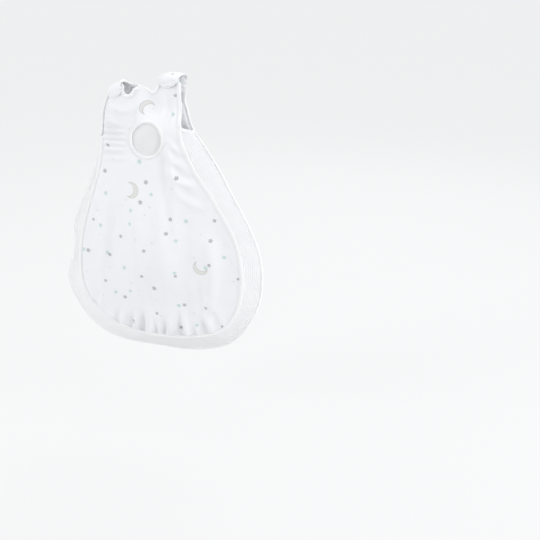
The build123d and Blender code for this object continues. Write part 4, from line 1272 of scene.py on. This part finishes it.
def strap(side, shape):
    """The strap's piece and its tab's stitches."""
    rings = shape.rings()
    count, m = rings.shape[:2]
    verts = rings.reshape(-1, 3)
    faces = [(i * m + k, i * m + (k + 1) % m, (i + 1) * m + (k + 1) % m, (i + 1) * m + k)
             for i in range(count - 1) for k in range(m)]
    faces += [tuple(range(m)), tuple((count - 1) * m + k for k in range(m))]
    uv = np.stack([verts[:, 0], np.repeat(shape.length, m)], 1)
    piece = make_piece(f"{side}_shoulder_strap", verts, faces, STRAP_COTTON,
                       (f"{side}_tab",), uv, body=None)
    sewn(f"{side}_tab_stitches", [(shape.seam(), FORWARDS)], body=f"{side}_tab")
    return piece


def blend_tab(piece, x):
    """Bakes the strap's placement into its mesh."""
    x * MM
    x * MM
    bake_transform(piece)


right_shape = Strap(
    [(17.0, -37.6), (17.0, -20.0), (17.2, -8.0), (16.6, 0.8), (11.0, 5.2), (2.0, 5.8), (-7.0, 5.2),
     (-15.0, 4.4), (-20.6, 2.4), (-22.3, -1.5), (-22.2, -8.0), (-22.0, -19.0)],
    [(-80, -21.3), (-54, -20), (-40, -17), (-26, -17), (-10, -19), (0, -21.5), (9, -21.6), (14, -19.5),
     (17, -17), (19, -13.5), (20.3, -9)],
    [(-80, 21.3), (-54, 22.5), (-42, 26.5), (-34, 27), (-22, 24.5), (-10, 23), (0, 21.5), (6, 19),
     (11, 14.5), (15, 9.5), (18, 3), (19.6, -2), (20.3, -7)],
    0.0, (-21.8, 1.0),
)
blend_tab(strap("right", right_shape), RIGHT_X)
left_shape = Strap(
    [(-20.0, -37.6), (-20.0, -27.0), (-20.6, -20.0), (-24.0, -13.6), (-31.0, -11.0), (-38.0, -10.4),
     (-44.0, -11.0), (-48.9, -13.6), (-50.4, -17.5), (-50.3, -24.0), (-50.0, -35.0)],
    [(-60, -131.3), (-46, -130), (-34, -124), (-22, -119), (-8, -118), (2, -120), (10, -122.5), (15, -121),
     (18, -117), (20.3, -111), (21, -106)],
    [(-60, -86.4), (-36, -86.4), (-29, -88.5), (-20, -94.5), (-8, -96), (0, -93), (8, -91), (14, -91),
     (17, -93), (19.5, -97), (21, -102)],
    0.42, (-49.6, -14.6),
)
blend_tab(strap("left", left_shape), LEFT_X)

MEETS_STRAP = (-82.0, -14.5)  # x and z where the back neck binding leaves the panel for the left strap
NECK_LEAN = 0.42  # how far the binding leans there
line = resample(moved_in(NECK_BACK, 0.4), 2.5)[::-1]
low = back_points(line, 0.0, deeper=2.0)
low = low[: np.argmin(np.hypot(*(line - MEETS_STRAP).T)) + 1]
low = np.concatenate([low, np.zeros((len(low), 1))], 1)
top = np.concatenate([left_shape.rings()[:, 0], left_shape.up], 1)  # along the strap's right edge
top = top[(top[:, 1] < -23.5) & (top[:, 1] > -43.0)][::4]
turn = np.arctan2(top[:, 4], top[:, 3])
top = np.concatenate([top[:, :3] - (0.8, 0, 0), turn[:, None]], 1)
hidden = [(-96.5, -45.2, -7.6, math.pi / 2), (-99.5, -46.6, -9.2, math.pi / 2)]
path = spline([*np.concatenate([low, top, hidden])[::2], hidden[-1]], 2.0)
turn = path[:, 3]
normal = np.stack([-NECK_LEAN * np.sin(turn), np.cos(turn), np.sin(turn)], 1)
bound("neck_binding_back_edge", path[:, :3], normal, binding_profile(5.6, 2.6, 0.8), "neck_binding_back",
      (0.68, 0.22))

RING_STITCHES = 2.4  # from the middle of the ring's tape, to both sides
for radius in (RING_MID - RING_STITCHES, RING_MID + RING_STITCHES):
    around = circle(RING, radius, 120)
    SEWN_ROWS.append((front_edge_points(np.concatenate([around, around[:1]]), deeper=-1.15), FORWARDS))
sewn("binding_stitches", SEWN_ROWS)


# ------------------------------------------------------------------ room: camera, floor and lamps
def placed(name, data):
    """New object in the scene."""
    piece = bpy.data.objects.new(name, data)
    bpy.context.scene.collection.objects.link(piece)
    return piece


camera_data = bpy.data.cameras.new("camera")
camera_data.lens = 49.3
camera_data.sensor_width = 36.0
camera = placed("camera", camera_data)
CAMERA_PLACE = (0.5834, -1.4373, 0.221)
right = Vector((0.96720, 0.25395, -0.00562))
upward = Vector((-0.09355, 0.37669, 0.92160))
forward = Vector((-0.23616, 0.89085, -0.38809))
turned = Matrix((right, upward, -forward)).transposed().to_4x4()
camera.matrix_world = Matrix.Translation(CAMERA_PLACE) @ turned
bpy.context.scene.camera = camera


def shown_ray(graph):
    """1 for the rays that show the background: from the camera, by reflection or through glass."""
    total = graph.add("ShaderNodeLightPath", output="Is Camera Ray")
    for kind in ("Is Glossy Ray", "Is Transmission Ray"):
        total = graph.math("MAXIMUM", total, graph.add("ShaderNodeLightPath", output=kind))
    return total


FLOOR_Z = -0.82
FLOOR_HALF = 40
FLOOR_COLOUR = (0.88, 0.88, 0.88)
FLOOR_SPOTS = (0.86, 0.86, 0.86)
FLOOR_GLOW, GLOW_SHARE = (0.915, 0.92, 0.925, 1), 0.85
shade = Shader("pale_floor", FLOOR_COLOUR, 0.9, 0.25)
shade.colour(shade.mix(shade.noise(shade.object_space(), 3.0), FLOOR_COLOUR, FLOOR_SPOTS))
glow = shade.add("ShaderNodeEmission", {0: FLOOR_GLOW})
plain = Wire(shade, shade.surface.outputs[0])
lit = shade.add("ShaderNodeMixShader", {0: shown_ray(shade) * GLOW_SHARE, 1: plain, 2: glow})
shade.feed(shade.tree.nodes["Material Output"].inputs[0], lit)
corners = [(x * FLOOR_HALF, y * FLOOR_HALF, FLOOR_Z) for x, y in ((-1, -1), (1, -1), (1, 1), (-1, 1))]
floor_mesh = bpy.data.meshes.new("floor")
floor_mesh.from_pydata(corners, [], [(0, 1, 2, 3)])
floor_mesh.materials.append(shade.material)
floor = placed("floor", floor_mesh)

ROOM_LIGHT, ROOM_STRENGTH = (0.96, 0.98, 1.0, 1), 0.64
BACKDROP = (0.86, 0.865, 0.87, 1)
world = bpy.data.worlds.new("studio")
bpy.context.scene.world = world
world.use_nodes = True
sky = Graph(world.node_tree)
room = sky.tree.nodes["Background"]
room.inputs[0].default_value = ROOM_LIGHT
room.inputs[1].default_value = ROOM_STRENGTH
backdrop = sky.add("ShaderNodeBackground", {0: BACKDROP})
chosen = sky.add("ShaderNodeMixShader", {0: shown_ray(sky), 1: Wire(sky, room.outputs[0]), 2: backdrop})
sky.feed(sky.tree.nodes["World Output"].inputs[0], chosen)


def lamp(name, place, aim, size, power, colour=(1, 1, 1)):
    """Square soft lamp."""
    data = bpy.data.lights.new(name, "AREA")
    data.size, data.energy, data.color = size, power, colour
    one = placed(name, data)
    one.location = place
    one.rotation_mode = "QUATERNION"
    one.rotation_quaternion = (Vector(aim) - Vector(place)).to_track_quat("-Z", "Y")


AIM = (-0.05, 0.0, -0.32)
lamp("key", (-1.8, -1.3, 0.8), AIM, 0.7, 21.0, (1.0, 0.99, 0.97))
lamp("side", (2.2, -0.5, 0.6), AIM, 1.2, 27.0)
lamp("top", (-0.1, -0.2, 1.9), AIM, 1.2, 6.0)
lamp("behind", (0.3, 2.0, 1.2), AIM, 1.6, 22.0)

bpy.context.scene.view_settings.view_transform = "Standard"
